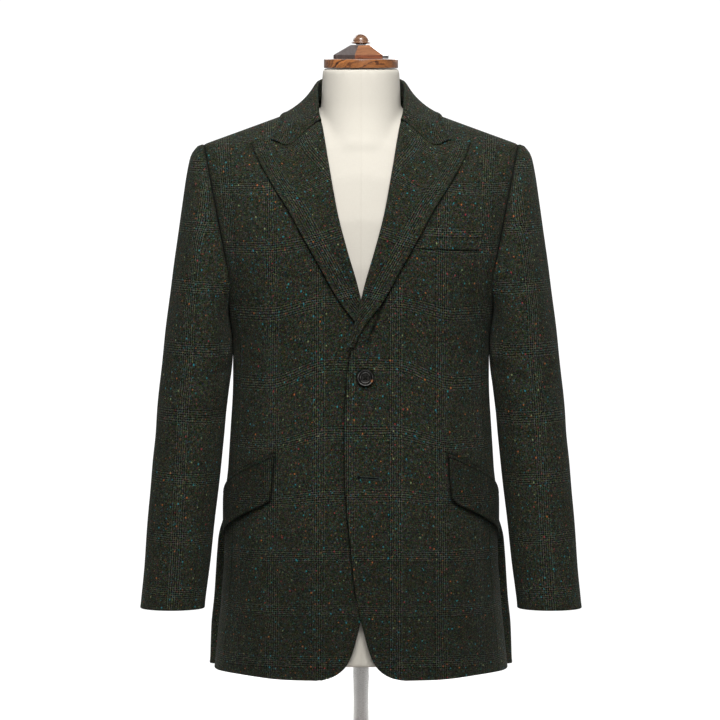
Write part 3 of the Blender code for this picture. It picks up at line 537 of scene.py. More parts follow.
def reach_into_seams(points, ends):
    """Stretches the edges that end in a seam, so that the two pieces meet at its bottom."""
    points = points.copy()
    for kind, axis, place, nearest in zip(ends, (0, 0, 1, 1), (0, -1, 0, -1), (1, -2, 1, -2)):
        if kind in SEAM_DIPS:
            view = np.moveaxis(points, axis, 0)
            view[place] += SEAM_REACH * unit(view[place] - view[nearest])
    return points


def edge_roll(distance, kind):
    """A turned edge holds three layers, so it is a little fuller, with a dent where it is topstitched."""
    if kind != "free":
        return np.zeros_like(distance)
    swell, dent = (height * hill(distance - at, width) for height, at, width in (EDGE_SWELL, EDGE_STITCH))
    return swell - dent


def cloth(grid, uv, ends, step=5.0, thickness=WALL, crease=None, swell=None, armhole_from=None, flip=False):
    """A shell whose outside follows the grid. crease(points) gives depths, swell(points) heights."""
    fine, grain = refined(np.asarray(grid, float), np.asarray(uv, float), step)
    fine = reach_into_seams(fine, ends)
    normals = grid_normals(fine) * (-1 if flip else 1)
    distances = [*run_along(fine, 0), *run_along(fine, 1)]
    sides = list(zip(distances, ends))
    lift = sum(edge_roll(distance, kind) - seam_dip(distance, kind) for distance, kind in sides)
    # painted shade: darker beside the seams and turned edges
    shade = np.prod([painted_seam_shade(distance, kind) for distance, kind in sides], axis=0)
    # at the armhole the seam dips deeper, and its painted shade is darker
    if armhole_from is not None:
        last = distances[-1]
        set_in = np.clip((fine[:, -1:, 2] - armhole_from) / SET_IN, 0, 1)
        lift = lift + (seam_dip(last, "seam") - seam_dip(last, "deep")) * set_in
        shade = shade * (1 + (painted_seam_shade(last, "deep") - 1) * set_in)
    if crease is not None:
        lift = lift - crease(fine) * np.clip(np.minimum.reduce(distances) / CREASE_FADE, CREASE_LEAST, 1.0)
    if swell is not None:
        lift = lift + swell(fine)
    half = thickness / 2
    thick = np.minimum.reduce([rounding(distance, kind, half) for distance, kind in sides])
    middle = fine + normals * (lift - half)[..., None]
    return middle + normals * thick[..., None], middle - normals * thick[..., None], grain, shade


hung = []


def hang(name, parts, node, mirror=False, material=None):
    """Makes the piece, which stands for its CAD node, and hides that node. It is cut a few whole checks further
    along the cloth than the piece before it, so no two have the same flecks."""
    outer, inner, grain, shade = parts
    hung.append(name)
    grain = grain + len(hung) * np.array([3 * CHECK_ACROSS, 5 * CHECK_UP])
    if mirror:
        outer, inner = mirrored(outer), mirrored(inner)
    made = link(name, shell_mesh(name, outer, inner, grain), material or TWEED)
    # the painted shade of seams and edges, kept on the points of both skins for the tweed to read
    layer = made.data.attributes.new("seam_and_edge_painted_shade", "FLOAT", "POINT")
    layer.data.foreach_set("value", np.concatenate([shade.reshape(-1)] * 2).astype(np.float32))
    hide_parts(node)


# ---------------------------------------------------------------- materials


class Value:
    """A node's output that can be reckoned with: every sign adds one math node."""

    def __init__(self, nodes, socket):
        self.nodes, self.socket = nodes, socket

    def __add__(self, other):
        return self.nodes.math("ADD", self, other)

    def __sub__(self, other):
        return self.nodes.math("SUBTRACT", self, other)

    def __rsub__(self, other):
        return self.nodes.math("SUBTRACT", other, self)

    def __mul__(self, other):
        return self.nodes.math("MULTIPLY", self, other)

    def __truediv__(self, other):
        return self.nodes.math("DIVIDE", self, other)

    def __mod__(self, other):
        return self.nodes.math("FLOORED_MODULO", self, other)

    def __lt__(self, other):
        return self.nodes.math("LESS_THAN", self, other)

    def __abs__(self):
        return self.nodes.math("ABSOLUTE", self)

    def __floor__(self):
        return self.nodes.math("FLOOR", self)


class Nodes:
    """Builds a material's node tree with short calls. What goes in is a Value, a number or a tuple."""

    def __init__(self, name):
        self.material = bpy.data.materials.new(name)
        self.material.use_nodes = True
        self.tree = self.material.node_tree
        self.shader = self.tree.nodes["Principled BSDF"]

    def put(self, socket, value):
        if isinstance(value, Value):
            self.tree.links.new(value.socket, socket)
        elif isinstance(value, tuple) and len(value) == 3 and len(socket.default_value) == 4:
            socket.default_value = (*value, 1.0)
        else:
            socket.default_value = value

    def node(self, kind, inputs=(), output=0, **settings):
        """One output of a new node, whose inputs are given in order, or by their names or numbers."""
        node = self.tree.nodes.new("ShaderNode" + kind)
        for key, setting in settings.items():
            setattr(node, key, setting)
        for key, value in inputs.items() if isinstance(inputs, dict) else enumerate(inputs):
            self.put(node.inputs[key], value)
        return Value(self, node.outputs[output])

    def math(self, operation, *values):
        return self.node("Math", values, operation=operation)

    def vector(self, operation, *values, output=0):
        return self.node("VectorMath", values, output, operation=operation)

    def length(self, vector):
        return self.vector("LENGTH", vector, output=1)

    def distance(self, first, second):
        return self.vector("DISTANCE", first, second, output=1)

    def scale(self, vector, by):
        return self.node("VectorMath", {0: vector, "Scale": by}, operation="SCALE")

    def join(self, x, y, z=0.0):
        return self.node("CombineXYZ", (x, y, z))

    def split(self, vector):
        outputs = self.node("SeparateXYZ", [vector]).socket.node.outputs
        return [Value(self, socket) for socket in outputs]

    def place(self):
        return self.node("TexCoord", output="Object")

    def place_in_mm(self):
        return self.scale(self.place(), 1000.0)

    def mix(self, share, first, second):
        return self.node("Mix", {0: share, 6: first, 7: second}, 2, data_type="RGBA")

    def noise(self, vector, scale, detail=2.0, roughness=0.5, colour=False):
        inputs = {"Vector": vector, "Scale": scale, "Detail": detail, "Roughness": roughness}
        return self.node("TexNoise", inputs, 1 if colour else 0)

    def white(self, x, y, z):
        return self.node("TexWhiteNoise", {"Vector": self.join(x, y, z)}, noise_dimensions="3D")

    def voronoi(self, vector, scale):
        distance = self.node("TexVoronoi", {"Vector": vector, "Scale": scale}, "Distance", voronoi_dimensions="2D")
        return distance, Value(self, distance.socket.node.outputs["Color"])

    def remap(self, value, low, high, to_low=0.0, to_high=1.0, interpolation="LINEAR"):
        return self.node("MapRange", (value, low, high, to_low, to_high), interpolation_type=interpolation)

    def ramp(self, value, stops, interpolation="LINEAR"):
        made = self.node("ValToRGB", [value])
        ramp = made.socket.node.color_ramp
        while len(ramp.elements) < len(stops):
            ramp.elements.new(0.5)
        for point, (place, colour) in zip(ramp.elements, stops):
            point.position = place
            point.color = (*colour, 1.0)
        ramp.interpolation = interpolation
        return made

    def bump(self, height, distance, strength=1.0, normal=None):
        inputs = {"Height": height, "Distance": distance, "Strength": strength}
        if normal is not None:
            inputs["Normal"] = normal
        return self.node("Bump", inputs)

    def hill(self, distance, width):
        return self.math("EXPONENT", distance * distance * (-1 / width**2))

    def away_from(self, place, lines, mirrored_lines):
        """Distance in millimetres to the nearest of some lines, each a row of points."""
        nearest = None
        for line in lines:
            line = np.abs(line) if mirrored_lines else np.asarray(line, float)
            for start, end in zip(line, line[1:]):
                run = end - start
                there = self.vector("SUBTRACT", place, tuple(start.tolist()))
                along = self.vector("DOT_PRODUCT", there, tuple((run / np.dot(run, run)).tolist()), output=1)
                along = self.math("MINIMUM", self.math("MAXIMUM", along, 0.0), 1.0)
                away = self.distance(there, self.scale(tuple(run.tolist()), along))
                nearest = away if nearest is None else self.math("MINIMUM", nearest, away)
        return nearest

    def finish(self, **values):
        for name, value in values.items():
            self.put(self.shader.inputs[name.replace("_", " ").title().replace("Ior", "IOR")], value)
        return self.material


YARN = 0.39  # pitch of the yarns, both ways
BAND_HALF = 9.5  # half width of a band that is woven four and four
DARK_YARN = (0.0042, 0.0045, 0.0026)
LIGHT_YARN = (0.0290, 0.0320, 0.0215)
DARK_BOLD_YARN = (0.0010, 0.0012, 0.0007)  # of the bands that are woven four and four
LIGHT_BOLD_YARN = (0.0400, 0.0440, 0.0320)
SPIN = 2.3  # length over which a yarn keeps its tone
SLUB_UP = (1.25, 3.4)  # width and length of a slub, along the warp and along the weft
SLUB_OVER = (3.1, 1.2)
SHEEN = {"sheen_weight": 0.025, "sheen_roughness": 0.45, "sheen_tint": (0.75, 0.8, 0.7)}
FLAT = (1.0, 0.0, 1.0)  # keeps what is across and up of a place, and drops how far forward it lies
BUTTON_SHADOW_RADIUS = 11.6  # radius of the ring of painted shadow round a button

# Flecks spun into the yarn: the distance between two of them, their radius, how many of them show and how
# strongly, and their colours.
Flecks = namedtuple("Flecks", "pitch radius share strength colours")
BRIGHT = [(0.012, 0.20, 0.26), (0.36, 0.105, 0.028), (0.012, 0.19, 0.24), (0.20, 0.24, 0.11)]
BRIGHT += [(0.24, 0.024, 0.034), (0.014, 0.22, 0.24)]
MIDDLING = [(0.010, 0.10, 0.13), (0.22, 0.066, 0.020), (0.012, 0.09, 0.12), (0.12, 0.13, 0.06)]
MIDDLING += [(0.010, 0.11, 0.12), (0.12, 0.020, 0.022)]
DULL = [(0.012, 0.055, 0.060), (0.09, 0.036, 0.014), (0.07, 0.076, 0.034), (0.012, 0.050, 0.055)]
DULL += [(0.012, 0.045, 0.060)]
FLECKS = table(
    Flecks, (12.5, 1.05, 0.55, 0.8, BRIGHT), (7.2, 0.95, 0.58, 0.62, MIDDLING), (4.3, 0.85, 0.62, 0.4, DULL)
)


def tweed_material(name, tone_and_painted_light, under=(), lapped_by=(), skirt=1.0, button_at=None):
    """The tweed, with painted shade. Beside the edges that lie on it, it is painted darker as their shadow: under on
    both sides, lapped_by on one.

    A skirt that falls back from the light is painted darker by the share skirt, and a ring of painted shadow lies round
    the button at button_at.
    """
    n = Nodes(name)
    u, v, _ = n.split(n.node("UVMap", uv_map="grain"))
    wander = n.split(n.noise(n.join(u, v), 0.11, colour=True))
    u = u + (wander[0] - 0.5) * 1.6
    v = v + (wander[1] - 0.5) * 1.6
    warp_count, weft_count = math.floor(u / YARN), math.floor(v / YARN)
    twill = (warp_count + weft_count) % 4.0 < 2.0

    def woven(warp, weft):
        """The warp's value where the warp floats over, and the weft's elsewhere."""
        return warp * twill + weft * (1.0 - twill)

    def band(run, repeat):
        return abs((run + repeat / 2) % repeat - repeat / 2) < BAND_HALF

    def is_light(count, in_band):
        return (count % 8.0 < 4.0) * in_band + (count % 4.0 < 2.0) * (1.0 - in_band)

    warp_band, weft_band = band(u, CHECK_ACROSS), band(v, CHECK_UP)
    light = woven(is_light(warp_count, warp_band), is_light(weft_count, weft_band))
    yarn = n.mix(light, DARK_YARN, LIGHT_YARN)
    yarn = n.mix(woven(warp_band, weft_band), yarn, n.mix(light, DARK_BOLD_YARN, LIGHT_BOLD_YARN))

    # each yarn is spun from lighter and darker wool
    tone = woven(n.white(warp_count, math.floor(v / SPIN), 3.0), n.white(math.floor(u / SPIN), weft_count, 9.0))
    cloudy = n.noise(n.join(u, v, 5.0), 0.75, 2.0, 0.6)
    tone = n.remap(tone, 0.0, 1.0, 0.15, 1.85) * n.remap(cloudy, 0.32, 0.68, 0.55, 1.45)
    # slubs: thicker, lighter lengths of yarn that the eye can pick out one by one
    slubs = [
        n.remap(n.white(math.floor(u / wide), math.floor(v / high), seed), 0.0, 1.0, 0.72, 1.28)
        for (wide, high), seed in ((SLUB_UP, 21.0), (SLUB_OVER, 27.0))
    ]
    tone = tone * (slubs[0] * slubs[1])
    tint = n.noise(n.join(u, v, 30.0), 0.45, 1.0, colour=True)
    tint = n.vector("SUBTRACT", n.vector("MULTIPLY", tint, (2.4, 2.2, 2.4)), (0.2, 0.1, 0.2))
    colour = n.vector("MULTIPLY", n.scale(yarn, tone), n.vector("MAXIMUM", tint, (0.35, 0.5, 0.35)))

    for k, fleck in enumerate(FLECKS):
        stretch = n.vector("ADD", n.join(u, v * 0.8), (31.7 * k, 17.3 * k, 0.0))
        ragged = n.vector("SUBTRACT", n.noise(n.join(u, v, 2.0 * k), 1.1, colour=True), (0.5, 0.5, 0.5))
        distance, cell = n.voronoi(n.vector("ADD", stretch, n.scale(ragged, 1.5)), 1.0 / fleck.pitch)
        hue, chance, size = n.split(cell)
        radius = fleck.radius / fleck.pitch
        reach = n.remap(size, 0.0, 1.0, radius * 0.45, radius * 1.2)
        shown = n.remap(distance, reach * 0.7, reach, 1.0, 0.0) * (chance < fleck.share)
        stops = [(i / len(fleck.colours), shade) for i, shade in enumerate(fleck.colours)]
        broken = n.remap(n.math("FRACT", tone * 7.3), 0.0, 1.0, 0.65, 1.0)
        colour = n.mix(shown * fleck.strength * broken, colour, n.ramp(hue, stops, "CONSTANT"))

    # painted shade of the seams and edges, times this copy's tone, which also holds painted light and shade
    shade = n.node("Attribute", output="Fac", attribute_name="seam_and_edge_painted_shade") * tone_and_painted_light
    place = n.place_in_mm()
    # painted shade: the skirt is darker low down, where less light falls
    if skirt < 1.0:
        shade = shade * n.remap(n.split(place)[2], 190.0, 350.0, skirt, 1.0, "SMOOTHSTEP")
    # painted shadow in a ring round the button
    if button_at:
        there = n.vector("SUBTRACT", n.vector("MULTIPLY", place, FLAT), (button_at[0], 0.0, button_at[1]))
        shade = shade * (1.0 - n.hill(n.length(there) - BUTTON_SHADOW_RADIUS, 1.9) * 0.7)
    # painted shadow beside the edges that lie on the cloth
    for edges, both_sides in ((under, True), (lapped_by, False)):
        if edges:
            flat = n.vector("ABSOLUTE", place) if both_sides else n.vector("MULTIPLY", place, FLAT)
            away = n.away_from(flat, edges, both_sides)
            shade = shade * (1.0 - (n.hill(away, 2.1) * 0.5 + n.hill(away, 6.0) * 0.18))

    # the yarns stand up where they float over; fibres blur them
    across, along = (abs(n.math("FRACT", run / YARN) - 0.5) for run in (u, v))
    fuzz = n.noise(n.join(u, v, 12.0), 2.6, 4.0, 0.7)
    soft = n.bump(n.noise(n.join(u, v, 40.0), 0.07, 3.0, 0.55), 0.0016, 0.6)
    return n.finish(
        base_color=n.scale(colour, shade),
        roughness=n.remap(fuzz, 0.3, 0.7, 0.86, 0.97),
        normal=n.bump(woven(across, along) * -0.5 + fuzz * 0.9, 0.0005, 0.75, soft),
        specular_ior_level=0.035,
        **SHEEN,
    )


def linen_material():
    n = Nodes("linen")
    place = n.place_in_mm()
    x, y, z = n.split(place)
    around = n.math("ARCTAN2", y, x) * 62.0
    threads = n.noise(n.join(around * 2.2, z * 0.16), 1.0, 3.0, 0.6)
    threads = threads + n.noise(n.join(around * 0.16, z * 2.2, 7.0), 1.0, 3.0, 0.6)
    weave = n.math("SINE", around * 7.4) * n.math("SINE", z * 7.4)
    seam = abs(x) < 0.35
    cloud = n.noise(place, 0.012, 3.0)
    colour = n.mix(n.remap(threads, 0.75, 1.25), (0.372, 0.349, 0.305), (0.395, 0.372, 0.327))
    colour = n.mix(n.remap(cloud, 0.35, 0.65, 0.0, 0.3), colour, (0.43, 0.405, 0.35))
    return n.finish(
        base_color=n.mix(seam * 0.2, colour, (0.33, 0.30, 0.24)),
        roughness=n.remap(threads, 0.7, 1.3, 0.78, 0.9),
        normal=n.bump(threads * 0.8 + weave * 0.12 - seam * 1.5, 0.0003, 0.6),
        specular_ior_level=0.3,
    )


def wood_material(name, light, dark, tilt=0.0, run=1.0, curl=0.035, coat=0.55):
    """Varnished wood. Its rings lie round an axis that leans by tilt; run stretches the grain."""
    n = Nodes(name)
    turned = n.node("VectorRotate", {"Vector": n.place_in_mm(), "Axis": (0.0, 1.0, 0.0), "Angle": tilt})
    x, y, z = n.split(turned)
    wobble = n.noise(n.join(x * curl, y * 0.05, z * 0.08), 1.0, 3.0, 0.6)
    rings = z * (0.24 * run) + y * (0.16 * run) + wobble * 5.5
    bands = n.noise(n.join(rings, 0.0), 1.0, 3.0, 0.55)
    fibre = n.noise(n.join(x * 0.035, y * 0.9, z * 1.3), 1.0, 4.0, 0.65)
    middle = tuple((a + b) / 2 for a, b in zip(light, dark))
    colour = n.ramp(bands, [(0.41, dark), (0.49, middle), (0.56, light)])
    return n.finish(
        base_color=n.mix(n.remap(fibre, 0.35, 0.65, 0.6, 0.0), colour, dark),
        roughness=n.remap(fibre, 0.3, 0.7, 0.34, 0.26),
        normal=n.bump(fibre, 0.0001, 0.25),
        specular_ior_level=0.3,
        coat_weight=coat,
        coat_roughness=0.07,
    )


TOP_BUTTON = (6.0, 529.0)  # across and height of the buttons' middles
LOW_BUTTON = (5.0, 391.0)
BUTTON_HOLE = 1.1
BUTTON_HOLE_PITCH = 2.6  # from the middle of the button to the middle of a hole
# Two rings of painted highlight on each button, standing in for the glints on its rim and ridge.
PAINTED_HIGHLIGHT_RINGS = ((10.2, 0.5, 0.9), (6.9, 0.45, 0.5))  # radius, half width, strength
WARM_SPOT = (9.3, 0.0, -4.4)


def horn_material():
    """Dark horn with one warm streak, and two rings of painted highlight round each button."""
    n = Nodes("horn")
    place = n.place_in_mm()
    cloud = n.noise(place, 0.12, 4.0, 0.6)
    streak = n.noise(n.vector("MULTIPLY", place, (0.9, 1.0, 0.16)), 0.9, 3.0, 0.55)
    tones = [(0.34, (0.003, 0.003, 0.003)), (0.55, (0.006, 0.006, 0.0055)), (0.72, (0.022, 0.014, 0.008))]
    colour = n.mix(n.remap(streak, 0.58, 0.75, 0.0, 0.4), n.ramp(cloud, tones), (0.05, 0.038, 0.022))
    # patches in which the painted highlight shows
    highlight_patches = n.remap(cloud, 0.42, 0.60, 0.15, 1.0)
    for across, height in (TOP_BUTTON, LOW_BUTTON):
        there = n.vector("MULTIPLY", n.vector("SUBTRACT", place, (across, 0.0, height)), FLAT)
        radius = n.length(there)
        # painted highlight rings, broken into patches
        for ring, width, share in PAINTED_HIGHLIGHT_RINGS:
            shown = n.remap(abs(radius - ring), 0.0, width, 1.0, 0.0) * share * highlight_patches
            colour = n.mix(shown, colour, (0.24, 0.235, 0.22))
        colour = n.mix(n.remap(radius, 4.6, 5.4, 0.6, 0.0), colour, (0.020, 0.019, 0.018))
        warm = n.distance(there, WARM_SPOT)
        colour = n.mix(n.remap(warm, 0.6, 2.6, 0.7, 0.0), colour, (0.30, 0.11, 0.04))
        # painted shade in the four drilled holes
        off = BUTTON_HOLE_PITCH * 0.7
        for place_of_hole in ((off, 0.0, off), (off, 0.0, -off), (-off, 0.0, off), (-off, 0.0, -off)):
            hole = n.distance(there, place_of_hole)
            colour = n.mix(n.remap(hole, 0.9, 1.7, 0.9, 0.0), colour, (0.001, 0.001, 0.001))
    return n.finish(
        base_color=colour,
        roughness=n.remap(streak, 0.3, 0.7, 0.36, 0.46),
        normal=n.bump(streak, 0.0001, 0.3),
        specular_ior_level=0.08,
    )


def thread_material(name, colour, pitch):
    n = Nodes(name)
    twist = n.noise(n.place_in_mm(), pitch, 2.0, 0.6)
    return n.finish(
        base_color=n.mix(n.remap(twist, 0.35, 0.65), tuple(c * 0.55 for c in colour), colour),
        roughness=n.remap(twist, 0.3, 0.7, 0.7, 0.9),
        normal=n.bump(twist, 0.0002, 0.5),
        specular_ior_level=0.06,
    )


def steel_material():
    n = Nodes("brushed_steel")
    x, y, z = n.split(n.place_in_mm())
    around = n.math("ARCTAN2", y, x) * 11.0
    lines = n.noise(n.join(around * 0.25, 0.0, z * 4.0), 1.0, 3.0, 0.6)
    return n.finish(
        base_color=n.mix(n.remap(lines, 0.3, 0.7), (0.48, 0.47, 0.455), (0.60, 0.59, 0.575)),
        metallic=1.0,
        roughness=n.remap(lines, 0.3, 0.7, 0.24, 0.36),
        normal=n.bump(lines, 0.0001, 0.25),
    )


FLOOR_RADIUS = 1.25  # metres
FLOOR_CLEAR_FROM = 0.36  # where the floor begins to fade


def floor_material():
    n = Nodes("paper_floor")
    place = n.place()
    fine = n.noise(place, 260.0, 3.0, 0.6)
    return n.finish(
        base_color=n.mix(n.remap(fine, 0.3, 0.7), (0.86, 0.86, 0.86), (0.90, 0.90, 0.90)),
        roughness=n.remap(fine, 0.3, 0.7, 0.7, 0.85),
        normal=n.bump(fine, 0.0002, 0.2),
        alpha=n.remap(n.length(place), FLOOR_CLEAR_FROM, FLOOR_RADIUS - 0.05, 1.0, 0.0, "SMOOTHSTEP"),
    )


# Copies of one tweed, each painted lighter or darker for how the light falls on its pieces: painted light and shade.
TWEED = tweed_material("tweed", 0.905)
TWEED_FACING_PAINTED_SHADE = tweed_material("tweed_facing_painted_shade", 0.80)
TWEED_POCKET_PAINTED_SHADE = tweed_material("tweed_pocket_painted_shade", 0.665)
HORN = horn_material()
THREAD = thread_material("button_thread", (0.010, 0.011, 0.009), 1.4)
BUTTONHOLE_THREAD = thread_material("buttonhole_thread", (0.025, 0.033, 0.029), 1.4)
# near black, as the painted shade inside the buttonhole's opening
SLIT = thread_material("buttonhole_slit_painted_shade", (0.0012, 0.0012, 0.0012), 1.1)
LINEN = linen_material()
WOOD = wood_material("varnished_wood", (0.39, 0.145, 0.040), (0.034, 0.010, 0.005), 0.30)
WOOD_BLOCK = wood_material("block_wood", (0.31, 0.135, 0.058), (0.100, 0.036, 0.016), 0.4)
WOOD_PLINTH = wood_material("plinth_wood", (0.19, 0.060, 0.024), (0.050, 0.015, 0.008), 0.15)
# a darker, greyer copy of the block's wood, as a painted dark reflection on some of its sides
WOOD_PAINTED_DARK_REFLECTION = wood_material("wood_painted_dark_reflection", (0.075, 0.056, 0.052), (0.030, 0.020, 0.018), 1.2)
WOOD_FINIAL = wood_material("finial_wood", (0.170, 0.092, 0.052), (0.075, 0.032, 0.016), 0.2, coat=0.3)
WOOD_BASE = wood_material("base_wood", (0.34, 0.130, 0.040), (0.110, 0.034, 0.012), 0.0, 0.35, curl=0.005)
STEEL = steel_material()


# ---------------------------------------------------------------- body panels

NEAR_HEM = [111, 112, 113.5, 115.5, 118.5, 122, 127, 133, 140, 148, 157]
UP_THE_BODY = list(range(167, 640, 9))
NEAR_ARMHOLE = [640, 646, 652, 658, 664, 670, 675]
VENT_ROWS = list(range(326, 358, 2))  # closer rows, in place of those between these heights
VENT_CLEAR = (322, 362)
CLIMBS = [k / 18 for k in range(1, 19)]
PANEL_COLUMNS = 27
SIDE_ROWS = 60
SIDE_WARP = 12.0  # where the bold warp stripe of the sides and of the backs runs
BACK_WARP = -30.0
HEM_CLIMB_FROM, HEM_CLIMB_RUN = 100, 90  # where across the hem begins to climb, and over what
HEM_BLEND = 40  # height over which the rows above the hem follow it
HIP = 200  # radius that turns the vent's lap into an angle
TUCK_RUN, LAP_RUN, KICK_RUN = 8, 10, 60  # heights over which the skirt turns in, laps and kicks below the vent
TURN_IN, KICK_TURN = 8, 20  # degrees that the turn in and the kick take
BACK_BUNCH = 1.25  # draws the back's columns towards the vent


def hem_height(across):
    return HEM_FRONT + (HEM_SIDE - HEM_FRONT) * ease((abs(across) - HEM_CLIMB_FROM) / HEM_CLIMB_RUN)


def front_edge_across(height):
    if height < BREAK_HEIGHT:
        return smooth(FRONT_EDGE, "across", height)
    return smooth(ROLL_LINE, "across", height)


def lap_inset(across, height):
    depth = smooth(LAP_DEPTHS, "depth", height)
    return depth * ease((LAP_HALF + LAP_EASE - across) / LAP_EASE)


def raised_hem(point, above):
    """The point of a level row, raised with the hem that it lies so far above."""
    lift = hem_height(point[0]) - HEM_FRONT
    return point + np.array([0.0, 0.0, lift * max(0.0, 1 - above / HEM_BLEND)])


def level_run(grid):
    """Distance along each row of a grid, seen from above."""
    steps = np.hypot(np.diff(grid[..., 0], axis=1), np.diff(grid[..., 1], axis=1))
    return np.concatenate([np.zeros((len(grid), 1)), np.cumsum(steps, axis=1)], axis=1)


def body_grain(grid, start, rows):
    """(across the warp, along the warp) of every point: level below the chest, up over the shoulder above."""
    grid = np.asarray(grid, float)
    across = level_run(grid) + np.asarray(start, float)[:, None]
    up = np.zeros_like(across)
    for i, (_, rise) in enumerate(rows):
        if rise == 0:
            up[i] = up_the_warp(grid[i])
        else:
            up[i] = up[i - 1] + np.hypot(grid[i, :, 1] - grid[i - 1, :, 1], grid[i, :, 2] - grid[i - 1, :, 2])
    return np.stack([across, up], axis=-1)


def front_crease(points):
    return crease_depth(FRONT_CREASES, np.abs(points[..., 0]), points[..., 2]) + slow_waves(points, 46, 0.35)


def back_crease(points):
    return crease_depth(BACK_CREASES, np.abs(points[..., 0]), points[..., 2]) + slow_waves(points, 52, 0.45)


def panel_rows(heights, junction):
    """(height, rise) of a body panel's rows, from the hem up to the chest and over the shoulder."""
    heights = sorted(heights + [round(junction, 1), CHEST])
    return [(float(height), 0.0) for height in heights] + [(CHEST, climb) for climb in CLIMBS]


def outer_angle(face, seam, junction, height, rise):
    """Ring angle where a row of a body panel ends: at its side seam, and above that at the armhole."""
    if rise > 0 or height >= CHEST:
        return armhole_angle(face)
    return armhole_angle_at(face, height) if height > junction else seam


def forepart(side, mirror):
    junction = armhole_height_at(FRONT, FRONT_SEAM)
    rows = panel_rows(NEAR_HEM + UP_THE_BODY + NEAR_ARMHOLE, junction)
    grid, start = [], []
    for height, rise in rows:
        first = edge_angle(FRONT, front_edge_across, height, rise)
        last = outer_angle(FRONT, FRONT_SEAM, junction, height, rise) - 0.1
        row = []
        for share in np.linspace(0, 1, PANEL_COLUMNS):
            point, normal = skin(FRONT, first + (last - first) * share, height, rise)
            if rise == 1:
                point = point - [0.0, SEAM / 2, 0.0]
            point = raised_hem(point, height - HEM_FRONT)
            row.append(point - normal * (lap_inset(point[0], point[2]) if mirror else 0.0))
        grid.append(row)
        start.append(row[0][0] - (WARP_RIGHT if mirror else WARP_LEFT))
    ends = Ends("free", "seam", "free", "seam")
    parts = cloth(grid, body_grain(grid, start, rows), ends, crease=front_crease, armhole_from=junction)
    cloth_of = TWEED_FRONT_RIGHT if mirror else TWEED_FRONT_LEFT
    hang(f"forepart_{side}", parts, f"front_{side}", mirror, cloth_of)


def side_body(side, mirror):
    columns = [(FRONT, angle) for angle in (FRONT_SEAM + 0.16, 71, 74, 77.5, 81, 85.5, 90)]
    columns += [(SIDE_BACK, angle) for angle in (88, 86, 84, BACK_SEAM + 0.1)]
    tops = [armhole_height_at(*column) - SEAM for column in columns]
    grid = []
    for share in np.linspace(0, 1, SIDE_ROWS):
        grid.append([])
        for (face, angle), top in zip(columns, tops):
            height = HEM_FRONT + (top - HEM_FRONT) * share
            point, _ = skin(face, angle, height)
            grid[-1].append(raised_hem(point, height - HEM_FRONT))
    grid = np.asarray(grid, float)
    grain = np.stack([level_run(grid) + SIDE_WARP, [up_the_warp(row) for row in grid]], axis=-1)
    parts = cloth(grid, grain, Ends("free", "deep", "seam", "seam"), crease=lambda p: slow_waves(p, 40, 0.4))
    hang(f"side_body_{side}", parts, f"side_{side}", mirror)


def neckline_rise(angle):
    column = torso(BACK, angle, CHEST)
    across = column[0] * SHOULDER_TIP / BACK.armhole
    if across >= NECK_POINT:
        return 1.0
    out = NECK_BACK * math.sqrt(1 - (across / NECK_POINT) ** 2)
    return math.degrees(math.acos((out / column[1]) ** (1 / BACK.fullness))) / 90


def back_panel(side, mirror):
    junction = armhole_height_at(SIDE_BACK, BACK_SEAM)
    heights = [height for height in NEAR_HEM + UP_THE_BODY + NEAR_ARMHOLE if not VENT_CLEAR[0] < height < VENT_CLEAR[1]]
    rows = panel_rows(heights + VENT_ROWS, junction)
    grid = []
    for height, rise in rows:
        below_vent = VENT_TOP - height
        tuck, lap = ease(below_vent / TUCK_RUN), ease((below_vent - TUCK_RUN) / LAP_RUN)
        first = ring_angle(BACK, SEAM / 2, height)
        last = outer_angle(BACK, BACK_SEAM, junction, height, rise) + lap * math.degrees(VENT_LAP / HIP)
        flare = smooth(RINGS, "half_back", height) - smooth(RINGS, "half_front", height)
        row = []
        for share in np.linspace(0, 1, PANEL_COLUMNS):
            angle = first + (last - first) * (1 - (1 - share) ** BACK_BUNCH)
            point, _ = skin(BACK, angle, height, rise * neckline_rise(angle))
            if rise == 1:
                point = point + [0.0, SEAM / 2, 0.0]
            point = raised_hem(point, height - HEM_FRONT)
            turned_in = ease((angle - VENT_TURN) / TURN_IN)
            kick = ease((angle - VENT_TURN) / KICK_TURN + 1) * (1 - turned_in) * ease(below_vent / KICK_RUN)
            inwards = tuck * (flare + VENT_TUCK) * turned_in - VENT_KICK * kick
            row.append(point - [inwards, 0.0, 0.0])
        grid.append(row)
    grain = body_grain(grid, [BACK_WARP] * len(rows), rows)
    ends = Ends("free", "seam", "seam", "seam")
    parts = cloth(grid, grain, ends, crease=back_crease, armhole_from=junction, flip=True)
    hang(f"back_panel_{side}", parts, f"back_{side}", mirror)


# ---------------------------------------------------------------- sleeves

